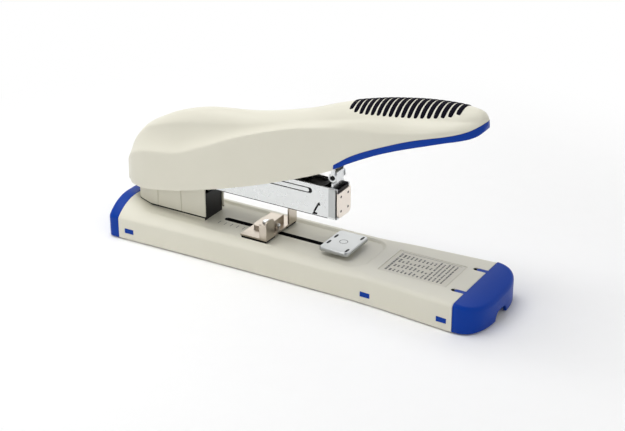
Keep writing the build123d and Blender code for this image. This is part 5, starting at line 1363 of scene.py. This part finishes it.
def coil(low, high, along, coils, wire):
    """Points and faces of a wire wound just inside a box, along one of its axes."""
    across, up = (along + 1) % 3, (along + 2) % 3
    middle = (low + high) / 2
    radius = (high[across] - low[across] - wire) / 2
    rise = (high[along] - low[along] - wire) / coils
    rings = []
    for turned in np.linspace(0, coils, coils * COIL_STEPS + 1):
        angle, ring = 2 * math.pi * turned, []
        for t in np.linspace(0, 2 * math.pi, WIRE_SIDES + 1)[:-1]:
            reach = radius + wire / 2 * math.cos(t)
            point = list(middle)
            point[along] = low[along] + wire / 2 * (1 + math.sin(t)) + rise * turned
            point[across] += reach * math.cos(angle)
            point[up] += reach * math.sin(angle)
            ring.append(point)
        rings.append(ring)
    return loft(rings)


push_low, push_high = box_mm("pusher_spring")
push_wire = coil(push_low, push_high, 0, PUSHER_COILS, PUSHER_WIRE)
push_coil = dressed(
    "pusher_coil_spring", [push_wire], spring_steel, "magazine", "spring_steel", "pusher_spring"
)
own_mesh(push_coil)
lift_low, lift_high = box_mm("return_spring")
return_wire = coil(lift_low, lift_high, 2, RETURN_COILS, RETURN_WIRE)
return_coil = dressed(
    "return_coil_spring", [return_wire], spring_steel, "magazine", "spring_steel", "return_spring"
)
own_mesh(return_coil)
print("coils", PUSHER_COILS, RETURN_COILS)

# %% [markdown]
# The other parts keep their CAD shape. A stamped or machined edge is never quite sharp, and the
# thin light line along it is what makes steel look like steel, so each gets a small bevel.
# The weld first joins the faces that the CAD export split along their edges.

# %% Small parts keep their shape
finish_by_slot = {
    "cream_plastic": cream_abs,
    "blue_plastic": blue_abs,
    "grip_rubber": grip_rubber,
    "foot_rubber": foot_rubber,
    "plated_steel": zinc_steel,
    "black_steel": black_steel,
    "spring_steel": spring_steel,
    "label": label_film,
    "black_plastic": black_acetal_and_shade,
}
slot_of = {part["node"]: part["material_slot"] for part in frame["record"]["subparts"]}
own_finish = {
    "anvil_plate": satin_steel,
    "anvil_post": satin_steel,
    "guide_plate": nickel_steel,
    "guide_clamp": nickel_steel,
    "driver_pin": black_steel,
    "hinge_bracket": black_steel,
    "chassis_plate": phosphated_steel,
}
MOULDED_EDGE = 0.4
for name, node in nodes.items():
    if node.hide_render:
        continue
    finish = own_finish.get(name, finish_by_slot[slot_of[name]])
    if not node.material_slots:
        node.data.materials.append(finish)
    for place in node.material_slots:
        place.material = finish
    weld = node.modifiers.new("weld", "WELD")
    weld.merge_threshold = SAME_POINT * MM
    break_edges(node, MOULDED_EDGE if "plastic" in slot_of[name] else EDGE_BREAK)
print("kept CAD parts", sum(not node.hide_render for node in nodes.values()))

# %% [markdown]
# The stage is a plain pale floor under soft studio light: a strong softbox above, weaker ones in
# front, behind and beyond the nose, and a white surround that gives the steel something to mirror.
# Away from the object the floor fades into the white backdrop, so only the soft shadow is left.

# %% Floor
FLOOR_SIZE = 6.0
FADE_START, FADE_END = 0.2, 0.42
FLOOR_DROP = 0.0002
FIBRE_MM = 15.0

floor_mesh = bpy.data.meshes.new("floor")
reach = FLOOR_SIZE / 2
floor_mesh.from_pydata(
    [(-reach, -reach, 0), (reach, -reach, 0), (reach, reach, 0), (-reach, reach, 0)], [], [(0, 1, 2, 3)]
)
floor = bpy.data.objects.new("floor", floor_mesh)
bpy.context.scene.collection.objects.link(floor)
floor.location.z = cad_box[0][2] - FLOOR_DROP
paper, tree, place = new_material("white_paper")
tone, _ = two_shades(tree, place, FIBRE_MM, "#FDFDFD", "#FBFBFB", 2.0)
sheet = add_node(tree, "BsdfDiffuse", {}, {"Color": (tone, 2)})
reach_out = add_node(tree, "VectorMath", {"operation": "LENGTH"}, {0: (place, "Object")})
far = add_node(
    tree,
    "MapRange",
    {"interpolation_type": "SMOOTHSTEP", "From Min": FADE_START, "From Max": FADE_END},
    {"Value": (reach_out, "Value")},
)
rays = add_node(tree, "LightPath")
ray_kinds = {0: (rays, "Is Camera Ray"), 1: (rays, "Is Glossy Ray")}
seen_rays = add_node(tree, "Math", {"operation": "MAXIMUM"}, ray_kinds)
fade = add_node(tree, "Math", {"operation": "MULTIPLY"}, {0: (far, "Result"), 1: (seen_rays, 0)})
white = add_node(tree, "Emission", {"Color": linear("#FFFFFF"), "Strength": 1.0})
faded = add_node(tree, "MixShader", {}, {0: (fade, 0), 1: (sheet, "BSDF"), 2: (white, 0)})
add_node(tree, "OutputMaterial", {}, {"Surface": (faded, 0)})
floor_mesh.materials.append(paper)
print("floor fades from", FADE_START, "to", FADE_END, "m")

# %% White surround
SURROUND_LIGHT = 0.42
ROOM_MIRROR, BACKDROP_MIRROR, CEILING_MIRROR = 0.25, 1.0, 0.45
BACKDROP_FROM, BACKDROP_TO = -0.5, 0.5
CEILING_FROM, CEILING_TO = 0.45, 0.8

world = bpy.data.worlds.new("studio")
bpy.context.scene.world = world
world.use_nodes = True
tree = world.node_tree
tree.nodes.clear()
rays = add_node(tree, "LightPath")
place = add_node(tree, "TexCoord")
way = add_node(tree, "SeparateXYZ", {}, {"Vector": (place, "Generated")})
backdrop_range = {
    "From Min": BACKDROP_FROM,
    "From Max": BACKDROP_TO,
    "To Min": ROOM_MIRROR,
    "To Max": BACKDROP_MIRROR,
}
backdrop = add_node(tree, "MapRange", backdrop_range, {"Value": (way, "Y")})
ceiling_range = {"From Min": CEILING_FROM, "From Max": CEILING_TO, "To Min": 1.0, "To Max": CEILING_MIRROR}
ceiling = add_node(tree, "MapRange", ceiling_range, {"Value": (way, "Z")})
mirrored = add_node(
    tree, "Math", {"operation": "MULTIPLY"}, {0: (backdrop, "Result"), 1: (ceiling, "Result")}
)
pure_white = {"Color": linear("#FFFFFF")}
lit = add_node(tree, "Background", {**pure_white, "Strength": SURROUND_LIGHT})
seen = add_node(tree, "Background", {**pure_white, "Strength": 1.0})
room = add_node(tree, "Background", pure_white, {"Strength": (mirrored, 0)})
mirror = add_node(tree, "MixShader", {}, {0: (rays, "Is Glossy Ray"), 1: (lit, 0), 2: (room, 0)})
whole = add_node(tree, "MixShader", {}, {0: (rays, "Is Camera Ray"), 1: (mirror, 0), 2: (seen, 0)})
add_node(tree, "OutputWorld", {}, {"Surface": (whole, 0)})
print("surround light", SURROUND_LIGHT)

# %% Softboxes
# name, size in metres, watts, place
softboxes = (
    ("softbox_above", 1.0, 11.0, (-0.45, -0.1, 1.2)),
    ("softbox_back", 1.2, 2.5, (-0.75, 1.5, 0.85)),
    ("softbox_front", 1.2, 2.0, (-0.5, -1.5, 0.6)),
    ("softbox_nose", 1.2, 2.6, (1.4, -0.4, 0.8)),
)


def softbox(name, size, watts, place):
    """A square soft light that faces the object."""
    light = bpy.data.lights.new(name, "AREA")
    light.shape, light.size, light.energy = "SQUARE", size, watts
    lamp = bpy.data.objects.new(name, light)
    bpy.context.scene.collection.objects.link(lamp)
    lamp.location = place
    lamp.rotation_euler = (lamp.location - CAMERA_TARGET).to_track_quat("Z", "Y").to_euler()


for values in softboxes:
    softbox(*values)
print("softboxes", len(softboxes))
